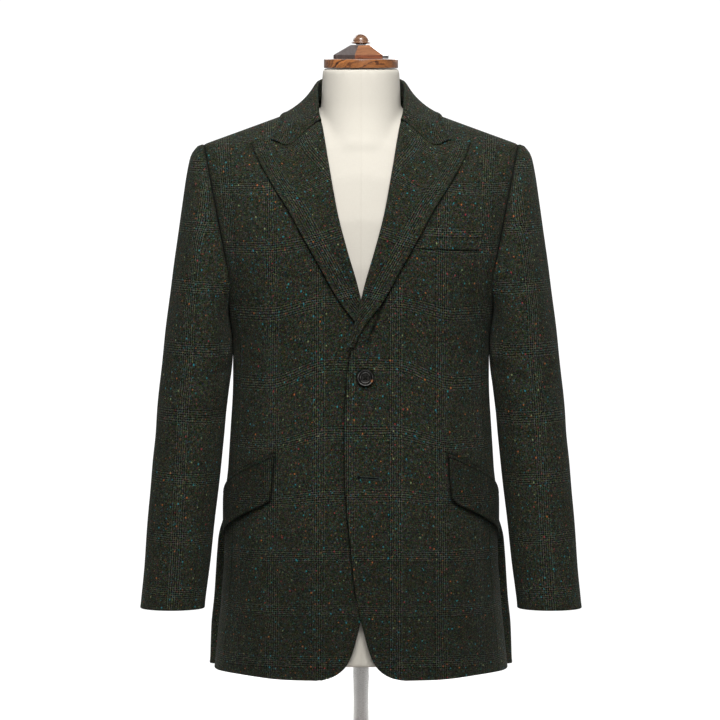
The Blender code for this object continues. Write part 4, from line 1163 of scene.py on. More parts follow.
# One row for each ring of the sleeve: where it meets the outer and the inner outline, its half depth, how
# far forward its centre hangs, and how far it still follows the armhole. The first is the armhole.
SleeveRing = namedtuple("SleeveRing", "outer outer_height inner inner_height half_depth forward armhole_share")
SLEEVE_RINGS = table(
    SleeveRing,
    (221.0, 849.2, 188.2, 622.6, 59, 2, 1.0),
    (230.0, 845.3, 188.3, 618.0, 62, 1, 0.85),
    (239.0, 834.0, 187.2, 611.5, 64, 0, 0.6),
    (244.5, 808.0, 185.6, 602.5, 65.5, -1, 0.35),
    (249.5, 768.0, 183.8, 591.5, 66, -3, 0.15),
    (256.0, 722.0, 181.9, 578.5, 66, -5, 0.0),
    (263.0, 672.0, 180.4, 562.0, 65, -7, 0.0),
    (270.0, 617.0, 180.4, 538.0, 63, -9, 0.0),
    (277.0, 556.0, 184.2, 506.0, 61, -11, 0.0),
    (284.5, 484.0, 190.0, 456.0, 59, -14, 0.0),
    (291.0, 410.0, 195.5, 397.0, 56, -19, 0.0),
    (297.5, 332.0, 203.5, 330.0, 52.5, -26, 0.0),
    (303.0, 262.0, 211.0, 262.0, 49.5, -34, 0.0),
    (308.0, 203.0, 218.5, 203.0, 47.5, -41, 0.0),
)
SLEEVE_GAP = -1.6  # the sleeve is sewn in, so its edge sinks into the armhole seam
SLEEVE_PRESS = 3.0  # how far the sleeve rests in against the side body, below the armhole
FORE_ARM_SEAM = 128.0  # turn of the front sleeve seam, from the outer line through the front
HIND_ARM_SEAM = 245.0
PRESS_HEIGHT, PRESS_REACH = 585, 24
SLEEVE_SEAM_GAP = 0.18  # of turn, left open at both sleeve seams
SLEEVE_FINER = 5  # rows for each ring
ROPE_HEIGHT, ROPE_AT, ROPE_WIDTH = 1.4, 8, 6  # the roll of the sleeve head beside its seam
ROPE_FROM, ROPE_RUN = 720, 90  # height at which it begins, and what it takes to grow in full


def sleeve_ellipse(ring, turn):
    across = (ring.outer + ring.inner) / 2
    height = (ring.outer_height + ring.inner_height) / 2
    reach = math.cos(math.radians(turn))
    return np.array(
        [
            across + (ring.outer - ring.inner) / 2 * reach,
            ring.forward - ring.half_depth * math.sin(math.radians(turn)),
            height + (ring.outer_height - ring.inner_height) / 2 * reach,
        ]
    )


def sleeve_point(ring, turn):
    point = sleeve_ellipse(ring, turn)
    if ring.armhole_share:
        first = sleeve_ellipse(SLEEVE_RINGS[0], turn)
        face = FRONT if math.sin(math.radians(turn)) >= 0 else BACK
        height = min(max(first[2], ARMPIT), TIP_HEIGHT)
        seam, _ = armhole_point(face, height)
        seam = seam + [SLEEVE_GAP * (1.6 if height < CHEST else 1.0), 0.0, 0.0]
        point = point + ring.armhole_share * (seam - first)
    against = SLEEVE_PRESS * hill(point[2] - PRESS_HEIGHT, PRESS_REACH) * max(0.0, -math.cos(math.radians(turn))) ** 6
    return point - [against, 0.0, 0.0]


SLEEVE_WARP = 8.0  # where the middle warp stripe runs, from the outer line towards the front
SLEEVE_WEFT = 20.0  # how far the sleeve's weft rows lie from the body's, at the top
SLEEVE_TILT, SLEEVE_PIVOT = 0.05, 250  # the drop of the weft for each unit outwards from there
CAP_FROM, CAP_RUN, CAP_LEVEL = 700, 60, 720  # heights at which the grain turns over with the sleeve head

# Creases of a sleeve: turn from the outer line through the front, height, half length along the fold,
# half width, depth and lean from upright in degrees. The bend of the elbow gathers on the inside.
Fold = namedtuple("Fold", "turn height length width depth lean")
SLEEVE_FOLDS = table(
    Fold,
    (96, 560, 46, 8, 2.1, 62),
    (118, 530, 42, 7, 2.4, 74),
    (104, 498, 44, 8, -1.7, 70),
    (122, 468, 40, 7, 2.2, 80),
    (88, 440, 44, 9, 1.5, 66),
    (40, 650, 84, 13, 1.3, 8),
    (66, 690, 70, 10, 1.5, -10),
    (20, 470, 60, 14, 0.9, 30),
    (60, 360, 70, 12, 1.1, 20),
    (30, 292, 60, 14, -1.0, -14),
    (-60, 640, 80, 12, 1.6, -8),
    (-96, 600, 60, 10, 1.8, 30),
    (-70, 500, 50, 10, 1.5, 68),
    (-110, 470, 46, 9, 1.9, 76),
    (-60, 350, 60, 13, 1.2, -16),
    (-20, 720, 50, 12, -0.8, 4),
    (196, 520, 60, 10, 1.4, 12),
    (214, 380, 60, 11, 1.2, -10),
)
ROUND_THE_ARM = 0.95  # millimetres for each degree of turn


def sleeve_grain(grid, middle):
    """(across, along) of every point: the run round the level section from the outer line, and the height,
    which becomes the run of the cloth itself where the sleeve head rounds over to the shoulder."""
    outer, outer_height, inner, inner_height, half_depth, forward, _ = np.array(SLEEVE_RINGS[::-1]).T
    level = (outer_height + inner_height) / 2
    x, y, z = np.moveaxis(grid, -1, 0)
    far, near = np.interp(z, outer_height, outer), np.interp(z, inner_height, inner)
    half, deep = (far - near) / 2, np.interp(z, level, half_depth)
    turn = np.arctan2((np.interp(z, level, forward) - y) / deep, (x - (far + near) / 2) / half)
    middle = math.radians(middle)
    turn = middle + (turn - middle + math.pi) % math.tau - math.pi
    angles = turn[..., None] * np.linspace(0, 1, 60)
    across, out = half[..., None] * np.cos(angles), deep[..., None] * np.sin(angles)
    run = np.hypot(np.diff(across, axis=-1), np.diff(out, axis=-1)).sum(axis=-1) * np.sign(turn)
    up = weft_at_all(z - SLEEVE_TILT * (x - SLEEVE_PIVOT) - SLEEVE_WEFT)
    step = np.linalg.norm(np.diff(grid, axis=0), axis=2) - np.abs(np.diff(z, axis=0))
    over = np.concatenate([np.cumsum(step[::-1], axis=0)[::-1], np.zeros((1, grid.shape[1]))])
    over = over - over[np.abs(z[:, 0] - CAP_LEVEL).argmin()][None]
    cap = np.clip((z - CAP_FROM) / CAP_RUN, 0, 1) * np.clip(np.cos(turn), 0, 1) ** 2
    return np.stack([run - SLEEVE_WARP, up + np.maximum(over, 0) * cap], axis=-1)


def sleeve_crease(turn, height):
    """Depth of all folds of a sleeve together, each met the short way round the arm."""
    away = [((turn - fold.turn + 180) % 360 - 180) * ROUND_THE_ARM for fold in SLEEVE_FOLDS]
    return sum(trough(fold, right, height - fold.height) for fold, right in zip(SLEEVE_FOLDS, away))


def rope(points):
    """The sleeve head stands up over the seam allowance."""
    grown = np.clip((points[..., 2] - ROPE_FROM) / ROPE_RUN, 0, 1)
    return ROPE_HEIGHT * grown * hill(run_along(points, 0)[0] - ROPE_AT, ROPE_WIDTH)


def sleeve(name, node, side, mirror, start, end, columns):
    turns = np.linspace(start + SLEEVE_SEAM_GAP, end - SLEEVE_SEAM_GAP, columns)
    rings = [[sleeve_point(ring, turn) for turn in turns] for ring in SLEEVE_RINGS]
    places = np.linspace(0, len(SLEEVE_RINGS) - 1, SLEEVE_FINER * (len(SLEEVE_RINGS) - 1) + 1)
    grid = read_rows(rings, places)
    heights = grid[..., 2].mean(axis=1)
    order = np.argsort(heights)
    axis_across = read_rows([(ring.outer + ring.inner) / 2 for ring in SLEEVE_RINGS], places)
    axis_out = read_rows([ring.forward for ring in SLEEVE_RINGS], places)

    def crease(points):
        across, out = (np.interp(points[..., 2], heights[order], axis[order]) for axis in (axis_across, axis_out))
        turn = np.degrees(np.arctan2(out - points[..., 1], points[..., 0] - across))
        return sleeve_crease(turn, points[..., 2]) + slow_waves(points, 34, 0.45)

    grain = sleeve_grain(grid, (start + end) / 2)
    parts = cloth(grid, grain, Ends("deep", "free", "seam", "seam"), crease=crease, swell=rope)
    hang(f"{name}_{side}", parts, f"{node}_{side}", mirror)


# ---------------------------------------------------------------- lapels and collar

ROLL_RADIUS = 2.0  # of the middle of the cloth where lapel and collar fold
LAPEL_LIFT = 3.3  # gap under the lapel's free edge
LAPEL_FOOT = BREAK_HEIGHT + 6  # where the lapel starts
LAPEL_ROWS = 45
LAPEL_SHARES = [0.04, 0.1, 0.17, 0.26, 0.36, 0.46, 0.56, 0.66, 0.76, 0.85, 0.93, 1.0]
LAPEL_WARP = 16.0  # where the lapel's bold warp stripe runs, in from its free edge
LAPEL_BEHIND = 0.9  # how far behind the roll line the lapel folds
COLLAR_WARP = 20.0
COLLAR_DROOP = np.array([0.0, 0.0, -12.0])  # how the fall curves down behind the neck
COLLAR_CLEAR = 0.6  # least gap between the fall and the body
SLANT = 0.707  # of a place halfway round a quarter turn


def lapel_path(t, s):
    """(across, height) of the lapel: t from the break to the gorge, s from the roll line to the edge."""
    roll_height = LAPEL_FOOT + (GORGE_HEIGHT - LAPEL_FOOT) * t
    edge_height = LAPEL_FOOT + (LAPEL_EDGE[-1].height - LAPEL_FOOT) * t
    start = np.array([smooth(ROLL_LINE, "across", roll_height), roll_height])
    end = np.array([smooth(LAPEL_EDGE, "across", edge_height), edge_height])
    first, last = GORGE[0], GORGE[-1]
    across = first.across + (last.across - first.across) * s
    chord = first.height + (last.height - first.height) * s
    bend = smooth(GORGE, "height", across) - chord
    near_top = ease((t - 0.62) / 0.38) if t < 1 else 1.0
    return start + (end - start) * s + [0.0, (bend - SEAM / 2) * near_top]


# One row for each station of half the collar, from the centre back to the gorge: where the stand meets
# the neckline, where it folds over, and where the free edge lies on the body. facing is how much the
# fold turns with the front's surface instead of standing up round the neck.
Station = namedtuple("Station", "seam fold edge_face edge_across edge_height facing")
COLLAR = table(
    Station,
    ((0, 47, 917), (0, 57, 944.5), BACK, 0, 893, 0.0),
    ((25, 44, 916.5), (24, 54.5, 944), BACK, 33, 892, 0.0),
    ((45, 34, 914), (45, 44, 942), BACK, 64, 890, 0.0),
    ((60, 17, 910), (58.5, 25, 937), BACK, 96, 887.5, 0.0),
    ((66.5, 1, 907), (62.5, 5, 931), FRONT, 110, 888, 0.0),
    ((65, -15, 903), (62, -16, 922.5), FRONT, 114, 879.5, 0.2),
    ((62.5, -33, 897), (60.5, -36, 909), FRONT, 117, 870.5, 0.45),
    ((60.5, -48, 890), (58.8, -54, 895.5), FRONT, 120, 862, 0.75),
    ((58, -60.5, 883.2), (55.2, -62.5, 883.2), FRONT, 124.5, 855.5, 1.0),
)
GORGE_GAP = 0.25
COLLAR_LIFT = 1.0
COLLAR_STEPS = 2  # rows for each gap between two stations
FALL_SHARES = [0.14, 0.3, 0.48, 0.66, 0.84, 1.0]


def clear_of_body(point, gap):
    """The point, moved out from the shoulder's axis until it stands this far off the body."""
    across, out, height = abs(point[0]), point[1], point[2]
    face = FRONT if out < 0 else BACK
    if height < CHEST:
        return point
    column = across / widening(face, min((height - CHEST) / (TIP_HEIGHT - CHEST), 1.0))
    angle = ring_angle(face, column, CHEST)
    depth = max(abs(torso(face, angle, CHEST)[1]), 1.0)
    reach = ridge_height(across) - CHEST
    turn = math.atan2((height - CHEST) / reach, (abs(out) / depth) ** (1 / face.fullness))
    surface = np.array([abs(depth * math.cos(turn) ** face.fullness), reach * math.sin(turn)])
    place = np.array([abs(out), height - CHEST])
    length = np.linalg.norm(surface) + gap
    if np.linalg.norm(place) < length:
        place = place * length / np.linalg.norm(place)
    return np.array([point[0], math.copysign(place[0], out), CHEST + place[1]])


def collar_row(station):
    """Middle line of the collar's wall at a station, from the neckline over the fold to the edge."""
    seam, fold = np.array(station.seam, float), np.array(station.fold, float)
    edge, edge_normal = on_face(station.edge_face, station.edge_across, station.edge_height)
    edge = edge + edge_normal * (LAY + WALL / 2 + COLLAR_LIFT)
    stand = unit(fold - seam)
    fall = edge - fold
    upright = unit(fall - stand * np.dot(fall, stand))
    _, body = on_face(FRONT, 58, GORGE_HEIGHT)
    out = unit(upright * (1 - station.facing) + body * station.facing)
    stand = unit(stand - out * np.dot(stand, out))
    centre = fold - stand * ROLL_RADIUS
    foot, back = seam + stand * SEAM, centre - out * ROLL_RADIUS
    row = [foot, (foot + back) / 2 - out * (0.5 if station.facing < 0.7 else 0.0), back]
    for way in ((stand - out) * SLANT, stand, (stand + out) * SLANT):
        row.append(centre + way * ROLL_RADIUS)
    start = centre + out * ROLL_RADIUS
    control = start + (edge - start) * 0.35 + COLLAR_DROOP * (1 - station.facing)
    for share in [0.0] + FALL_SHARES:
        row.append(start * (1 - share) ** 2 + control * 2 * share * (1 - share) + edge * share**2)
    return row


def collar_rows():
    """Rows of half the collar. Between the stations they follow smooth curves."""
    stations = [np.array(collar_row(station)) for station in COLLAR]
    around = [mirrored(stations[1])] + stations + stations[-1:]
    rows = []
    for four in zip(around, around[1:], around[2:], around[3:]):
        rows += [curve(*four, step / COLLAR_STEPS) for step in range(COLLAR_STEPS)]
    return rows + stations[-1:]


def collar_front_row(row):
    """The collar's last row: the gorge seam from the fold to the notch, then its short free end."""
    head = list(row[: -len(FALL_SHARES)])
    start, end = head[-1][0], row[-1][0]
    for share in FALL_SHARES:
        across = start + (end - start) * share
        beyond = max((across - NOTCH_ACROSS) / (end - NOTCH_ACROSS), 0.0)
        height = smooth(GORGE, "height", min(across, NOTCH_ACROSS)) * (1 - beyond) + COLLAR[-1].edge_height * beyond
        place, normal = on_face(FRONT, across, height + GORGE_GAP)
        head.append(place + normal * (LAY + WALL / 2 + ROLL_RADIUS * (1 - ease(share / 0.5)) + COLLAR_LIFT))
    return head


def lapel(side, mirror):
    def inset(across, height):
        return lap_inset(across, height) if mirror else 0.0

    grid = []
    for t in np.linspace(0, 1, LAPEL_ROWS):
        across, height = lapel_path(t, 0.0)
        point, normal = on_face(FRONT, across, height)
        ahead, _ = on_face(FRONT, *lapel_path(t, 0.1))
        back = -unit(ahead - point)
        centre = point - normal * inset(across, height) + back * LAPEL_BEHIND + normal * (ROLL_RADIUS - WALL / 2)
        row = []
        for angle in np.radians(range(0, 181, 30)):
            out = back * math.sin(angle) - normal * math.cos(angle)
            row.append(centre + out * (ROLL_RADIUS + WALL / 2))
        for s in LAPEL_SHARES:
            place, normal = on_face(FRONT, *lapel_path(t, s))
            settle = ROLL_RADIUS * (1 - ease(s / 0.35)) + (LAPEL_LIFT - LAY) * ease((s - 0.45) / 0.5)
            row.append(place + normal * (settle + LAY + WALL - inset(place[0], place[2])))
        grid.append(row)
    grid = np.asarray(grid, float)
    _, from_edge = run_along(grid, 1)
    along_edge, _ = run_along(grid[:, -1:], 0)
    grain = np.stack([from_edge - LAPEL_WARP, np.broadcast_to(along_edge, from_edge.shape)], axis=-1)
    parts = cloth(grid, grain, Ends("open", "fine", "open", "free"), 4.0, crease=lambda p: slow_waves(p, 38, 0.3))
    hang(f"lapel_piece_{side}", parts, f"lapel_{side}", mirror, TWEED_FACING_PAINTED_SHADE)


def collar():
    half = collar_rows()
    shift = np.array(collar_front_row(half[-1])) - half[-1]
    half[-1] = half[-1] + shift
    half[-2] = half[-2] + shift / 2
    for row in half:
        for j in range(len(row) - len(FALL_SHARES), len(row)):
            row[j] = clear_of_body(row[j], LAY + WALL / 2 + COLLAR_CLEAR)
    middle = np.array([mirrored(row) for row in half[:0:-1]] + half)
    grid = middle - grid_normals(middle) * WALL / 2
    _, from_edge = run_along(grid, 1)
    along, _ = run_along(grid, 0)
    along = np.abs(along - along[len(grid) // 2])
    grain = np.stack([from_edge - COLLAR_WARP, along], axis=-1)
    parts = cloth(grid, grain, Ends("fine", "fine", "fine", "free"), 4.0, flip=True)
    hang("collar_piece", parts, "collar", material=TWEED_FACING_PAINTED_SHADE)


# ---------------------------------------------------------------- pockets

# Slanted pocket: where its front upper corner lies, the drop of its line for each unit of run, and the
# depth of the flap.
POCKET_FRONT = 120.0
POCKET_HEIGHT = 418.0
POCKET_SLOPE = 0.42
POCKET_LENGTH = 143.0
FLAP_DEPTH = 62.0
FLAP_LEAN = 5.0  # the front edge runs this far outwards on its way down
POCKET_LAY = 0.9  # gap under both, which lie over the side seam too
POCKET_END = 0.08  # share of the length in which a corner is rounded off
PRESSED_FROM, PRESSED_RUN = 0.5, 0.35  # shares of the length after which the side presses the strip down
LIFT_FROM, LIFT_RUN = 8, 50  # drops at which the flap begins to stand off, and over which it does
# top and bottom are below the pocket's line, corner is how much the lower corners are rounded off, lift is
# how far the free edge stands off, pressed is how much of that is lost round the side, end is the upper edge.
Strip = namedtuple("Strip", "top bottom wall columns rows corner lift pressed end")
FLAP = Strip(SEAM, FLAP_DEPTH, 2.4, 36, 18, 5.0, 2.0, 1.0, "seam")
JET = Strip(-5.0, 0.0, 1.4, 42, 6, 0.0, 0.0, 0.0, "free")


def round_the_side(start_across, height, run):
    """(face, angle) after a run round the ring at this height."""
    angle = ring_angle(FRONT, start_across, height)
    place = torso(FRONT, angle, height)
    face = FRONT
    while run > 0:
        angle += 0.25 if face is FRONT else -0.25
        if angle >= 90:
            face = SIDE_BACK
        step = torso(face, angle, height)
        run -= np.linalg.norm(step - place)
        place = step
    return face, angle


def pocket_place(run, drop):
    """(face, angle, height) of a place by its run along the pocket's line and its drop below it."""
    height = POCKET_HEIGHT - POCKET_SLOPE * run - drop
    return *round_the_side(POCKET_FRONT, height, run + FLAP_LEAN * drop / FLAP_DEPTH), height


def pocket_strip(name, node, mirror, strip):
    """A strip along the slanted pocket, with rounded corners and a free edge that lifts a little."""
    first = POCKET_FRONT - (WARP_RIGHT if mirror else WARP_LEFT)
    grid, grain = [], []
    for down in np.linspace(0, 1, strip.rows):
        grid.append([])
        grain.append([])
        for along in np.linspace(0, 1, strip.columns):
            near_end = max(0.0, 1 - min(along, 1 - along) / POCKET_END)
            drop = strip.top + (strip.bottom - strip.top) * down - strip.corner * down**3 * near_end**2
            run = POCKET_LENGTH * along
            face, angle, height = pocket_place(run, drop)
            point, normal = skin(face, angle, height)
            pressed = strip.pressed * ease((along - PRESSED_FROM) / PRESSED_RUN)
            lift = strip.lift * ease((drop - LIFT_FROM) / LIFT_RUN) * (1 - pressed)
            grid[-1].append(point + normal * (POCKET_LAY * (1 - 0.5 * pressed) + strip.wall + lift))
            across = first + run + FLAP_LEAN * drop / FLAP_DEPTH
            grain[-1].append((across, weft_at(height) + droop_at(point[0], height)))
    ends = Ends(strip.end, "free", "free", "free")
    parts = cloth(grid, grain, ends, 4.0, strip.wall - 0.2, lambda p: slow_waves(p, 30, 0.25), flip=True)
    hang(name, parts, node, mirror, TWEED_POCKET_PAINTED_SHADE)


# Breast welt on the wearer's left: its corners as (across, height).
WELT_LOW = np.array([(80.0, 707.5), (163.0, 704.0)])
WELT_HIGH = np.array([(90.0, 736.5), (169.0, 731.0)])
WELT_LIFT = SEAM + 1.7
WELT_WEFT = -20  # how far its weft rows lie from the forepart's


def breast_welt():
    grid, grain = [], []
    for up in np.linspace(0, 1, 7):
        inner, outer = WELT_LOW * (1 - up) + WELT_HIGH * up
        places = [inner + (outer - inner) * share for share in np.linspace(0, 1, 21)]
        on_chest = [on_face(FRONT, *place) for place in places]
        grid.append([point + normal * WELT_LIFT for point, normal in on_chest])
        grain.append([(a - WARP_LEFT, weft_at(height) + droop_at(a, height) + WELT_WEFT) for a, height in places])
    parts = cloth(grid, grain, Ends("seam", "free", "seam", "seam"), 3.0, 1.5, front_crease)
    hang("breast_pocket_welt", parts, "breast_welt")


# ---------------------------------------------------------------- buttons and stitches

BUTTON_LIFT = 0.8  # its thread shank
# Half section of a button of 36 line, from its back round the rim to the dished middle: radius, height.
BUTTON_SECTION = [(8.6, 0.0), (10.2, 0.25), (11.2, 0.95), (11.7, 1.9), (11.65, 2.7), (11.2, 3.3), (10.6, 3.6)]
BUTTON_SECTION += [(10.0, 3.5), (9.5, 3.05), (9.1, 2.5), (8.6, 2.2), (8.1, 2.3), (7.7, 2.65), (7.2, 2.85), (6.7, 2.65)]
BUTTON_SECTION += [(6.2, 2.2), (5.4, 1.9), (4.2, 1.8), (2.0, 1.85), (0.4, 1.85)]


def placed(made, place, inset=0.0):
    """Turns a piece made round the origin so that it lies on the front there."""
    point, up = on_face(FRONT, *place)
    point = point + up * (BUTTON_LIFT - inset)
    side = unit(np.cross([0.0, 0.0, 1.0], up))
    high = np.cross(up, side)
    rows = [[side[i], high[i], up[i], point[i] * MM] for i in range(3)] + [[0.0, 0.0, 0.0, 1.0]]
    made.data.transform(Matrix(rows))


def tube_faces(rings, sides, start=0):
    """Faces of a closed tube, whose rings of points follow each other from number start."""
    faces = []
    for first in range(start, start + (rings - 1) * sides, sides):
        for k in range(sides):
            a, b = first + k, first + (k + 1) % sides
            faces.append((a, b, b + sides, a + sides))
    last = start + (rings - 1) * sides
    return faces + [tuple(range(start, start + sides))[::-1], tuple(range(last, last + sides))]


def ring_points(centre, side, up, radius, sides):
    angles = [math.tau * k / sides for k in range(sides)]
    return [centre + radius * (side * math.cos(angle) + up * math.sin(angle)) for angle in angles]


def lathe_points(profile, sides, centre=(0.0, 0.0), turn=0.0):
    """Points and faces of a solid turned from its half section, which lists radius and height."""
    angles = [math.radians(turn + 360 * k / sides) for k in range(sides)]
    x, y = centre
    points = [(x + r * math.cos(angle), y + r * math.sin(angle), height) for r, height in profile for angle in angles]
    return points, tube_faces(len(profile), sides)


def apply_modifiers(made):
    bpy.context.view_layer.update()
    mesh = bpy.data.meshes.new_from_object(made.evaluated_get(bpy.context.evaluated_depsgraph_get()))
    made.modifiers.clear()
    made.data = mesh
    return mesh


def button(name, node, place, inset):
    """A turned button with four drilled holes, and the crossed threads that hold it."""
    made = link(name, mesh_of(name, *lathe_points(BUTTON_SECTION, 72)), HORN)
    angles = [math.radians(45 + 90 * k) for k in range(4)]
    holes = [BUTTON_HOLE_PITCH * np.array([math.cos(angle), math.sin(angle)]) for angle in angles]
    drills = []
    for k, centre in enumerate(holes):
        drill = mesh_of(f"{name}_drill_{k}", *lathe_points([(BUTTON_HOLE, -1), (BUTTON_HOLE, 5)], 20, centre))
        drills.append(new_object(f"{name}_drill_{k}", drill))
        cut = made.modifiers.new(f"hole_{k}", "BOOLEAN")
        cut.operation = "DIFFERENCE"
        cut.object = drills[-1]
    mesh = apply_modifiers(made)
    for drill in drills:
        bpy.data.objects.remove(drill, do_unlink=True)
    mesh.shade_smooth()
    mesh.set_sharp_from_angle(angle=math.radians(40))
    placed(made, place, inset)
    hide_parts(node)
    for k in (0, 1):
        shares = np.linspace(0, 1, 11)
        heights = [1.5 + (1.0 + 0.45 * k) * math.sin(math.pi * s) ** 0.7 for s in shares]
        path = [(*(holes[k] * (1 - s) + holes[k + 2] * s), height) for s, height in zip(shares, heights)]
        placed(thread(f"{name}_thread_{k}", path, 0.55), place, inset)


def thread(name, path, radius, sides=8):
    """A thread along a path of points, thinner at its ends."""
    path = np.asarray(path, float)
    along = unit(np.gradient(path, axis=0))
    side = unit(np.cross(along, [0.0, 0.0, 1.0]))
    up = np.cross(side, along)
    radii = [radius * (0.55 if i in (0, len(path) - 1) else 1.0) for i in range(len(path))]
    points = [point for row in zip(path, side, up, radii) for point in ring_points(*row, sides)]
    return link(name, mesh_of(name, points, tube_faces(len(path), sides)), THREAD)


def front_point(across, height, lift):
    """A point that lies this far off the left forepart, creases included."""
    point, normal = on_face(FRONT, across, height)
    depth = float(front_crease(point[None, None])[0, 0])
    return point + normal * (lift - depth)


# A keyhole buttonhole: from the eyelet near the front edge back to its bar tack, as (across, height).
LOWER_HOLE = ((-3.0, 391.5), (25.5, 389.5))
UPPER_HOLE = ((-2.5, 530.0), (16.5, 528.4))
STITCH_PITCH = 0.62
STITCH_RADIUS = 0.33
STITCH_SIDES = 6
EYELET_RADIUS = 2.0
EYELET_RIM = 2.2  # of the dark hole
EYELET_STITCH = (2.15, 3.3)  # radii from which and to which its stitches run
SLIT_STITCH = (0.7, 2.2)
SLIT_HALF = 0.75


def buttonhole(name, ends):
    """Purl stitches side by side round a slit and its eyelet, with a bar tack at the inner end."""
    start, end = np.array(ends)
    length = np.linalg.norm(end - start)
    along = (end - start) / length
    aside = np.array([-along[1], along[0]])
    points, faces = [], []

    def at(run, off):
        return start + along * run + aside * off

    def round_eyelet(radius, opening, count):
        """Places round the eyelet, which is open by this angle on each side of the slit."""
        angles = [math.radians(opening + (360 - 2 * opening) * k / (count - 1)) for k in range(count)]
        return [at(radius * math.cos(angle), radius * math.sin(angle)) for angle in angles]

    def stitch(near, far, radius=STITCH_RADIUS):
        middle = (near + far) / 2
        path = [front_point(*near, 0.05), front_point(*middle, radius * 1.5), front_point(*far, 0.0)]
        _, normal = on_face(FRONT, *middle)
        side = unit(np.cross(path[-1] - path[0], normal))
        faces.extend(tube_faces(3, STITCH_SIDES, len(points)))
        for point, thin in zip(path, (0.8, 1.0, 0.6)):
            points.extend(ring_points(point, side, normal, radius * thin, STITCH_SIDES))

    count = int((length - EYELET_RADIUS) / STITCH_PITCH)
    for sign in (1, -1):
        for k in range(count):
            run = EYELET_RADIUS * 0.9 + (length - EYELET_RADIUS * 0.9) * (k + 0.5) / count
            near, far = SLIT_STITCH
            stitch(at(run, near * sign), at(run, (far + 0.12 * math.sin(k * 2.3)) * sign))
    for near, far in zip(*(round_eyelet(radius, 38, 15) for radius in EYELET_STITCH)):
        stitch(near, far)
    for k in range(4):
        run = length - 0.2 + 0.5 * k
        stitch(at(run, 2.2), at(run, -2.2), 0.36)
    link(name, mesh_of(name, points, faces), BUTTONHOLE_THREAD)
    # the opening itself: a thin recessed strip with its eyelet, near black as painted shade
    outline = round_eyelet(EYELET_RIM, 24, 18) + [at(length - 1, -SLIT_HALF), at(length - 1, SLIT_HALF)]
    slit = [front_point(*place, lift) for lift in (-0.3, 0.3) for place in outline]
    slit = mesh_of(f"{name}_slit", slit, tube_faces(2, len(outline)), smooth_shade=False)
    link(f"{name}_slit", slit, SLIT)


# ---------------------------------------------------------------- the dress form and its stand

NECK_TOP = 955.0
NECK_AXIS = -10.5
NECK_CENTRE = (0.0, NECK_AXIS)
FORM_BOTTOM = 128.0
FORM_SHRINK = 0.8  # what the smoothed linen is drawn in by, so that it stays under the cloth
FORM_VOXEL, FORM_VOXEL_QUICK = 0.004, 0.006  # metres
RELAX_STEPS = 28
RELAX_PULLS = (0.6, -0.58)  # in and out in turn, so that facets go and the size stays
NECK_FROM, NECK_RUN = 850, 20  # height at which the form's neck begins
CAP_RADIUS = 51.7
CAP_HEIGHT = 12.6
BLOCK_SIDE = 40.6  # of its hexagon, and so the radius to a corner too
BLOCK_TOP_SIDE = 15.5
BLOCK_PLINTH = 5.6
BLOCK_SLOPE = 13.9
BLOCK_TURN = 18.0
# These of the block's sides get a darker, greyer copy of the wood as a painted dark reflection.
PAINTED_DARK_REFLECTION_FACES = (0, 3, 5, 6, 9)
PLINTH_FACES = (1, 2, 4)
FINIAL_PROFILE = [(7, 0), (7, 1.2), (12.6, 1.9), (13.5, 2.8), (12.8, 3.8), (11, 4.4)]
FINIAL_PROFILE += [(10.9, 6.5), (9.9, 9.6), (7.6, 12.4), (4.2, 14.2), (0.8, 14.8)]
POLE_RADIUS = 11.0
BASE_RADIUS = 160.0
BASE_HEIGHT = 16.0


def read_vectors(items, key, width=3, kind=float):
    values = np.empty(len(items) * width, dtype=kind)
    items.foreach_get(key, values)
    return values.reshape(-1, width)


def form_torso():
    """The CAD trunk, made smooth: remeshed finely, its facets relaxed, and drawn in a little."""
    made = new_object("form_linen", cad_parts["form_torso"].data.copy())
    remesh = made.modifiers.new("fine", "REMESH")
    remesh.mode = "VOXEL"
    remesh.voxel_size = FORM_VOXEL
    mesh = apply_modifiers(made)
    points = read_vectors(mesh.vertices, "co")
    starts, ends = read_vectors(mesh.edges, "vertices", 2, np.int64).T
    degree = np.bincount(np.concatenate([starts, ends]), minlength=len(points))[:, None]
    for step in range(RELAX_STEPS):
        total = np.zeros_like(points)
        np.add.at(total, starts, points[ends])
        np.add.at(total, ends, points[starts])
        points = points + (total / degree - points) * RELAX_PULLS[step % 2]
    mesh.vertices.foreach_set("co", points.reshape(-1))
    mesh.update()
    neck = np.clip((points[:, 2] / MM - NECK_FROM) / NECK_RUN, 0, 1)[:, None]
    shrink = read_vectors(mesh.vertex_normals, "vector") * FORM_SHRINK * MM
    shrink[:, 2:] *= 1 - neck
    points = points - shrink * (1 - neck * 0.7)
    points[:, 2] = np.minimum(points[:, 2], (NECK_TOP - 0.1) * MM)
    mesh.vertices.foreach_set("co", points.reshape(-1))
    mesh.materials.clear()
    mesh.materials.append(LINEN)
    mesh.polygons.foreach_set("material_index", [0] * len(mesh.polygons))
    mesh.update()
    mesh.shade_smooth()
    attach(made, "root")
    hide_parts("form_torso")


def arc_profile(points, radius, steps=4):
    """The profile with each of its corners rounded off."""
    points = [np.array(p, float) for p in points]
    made = [tuple(points[0])]
    for before, here, after in zip(points, points[1:], points[2:]):
        reach_in = min(radius, np.linalg.norm(before - here) * 0.45)
        reach_out = min(radius, np.linalg.norm(after - here) * 0.45)
        start = here + (before - here) / np.linalg.norm(before - here) * reach_in
        end = here + (after - here) / np.linalg.norm(after - here) * reach_out
        for k in range(steps + 1):
            t = k / steps
            made.append(tuple(start * (1 - t) ** 2 + here * 2 * t * (1 - t) + end * t**2))
    made.append(tuple(points[-1]))
    return made


def lathe(name, node, profile, material, sides, centre=(0.0, 0.0)):
    made = link(name, mesh_of(name, *lathe_points(profile, sides, centre), sharp=35), material)
    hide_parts(node)


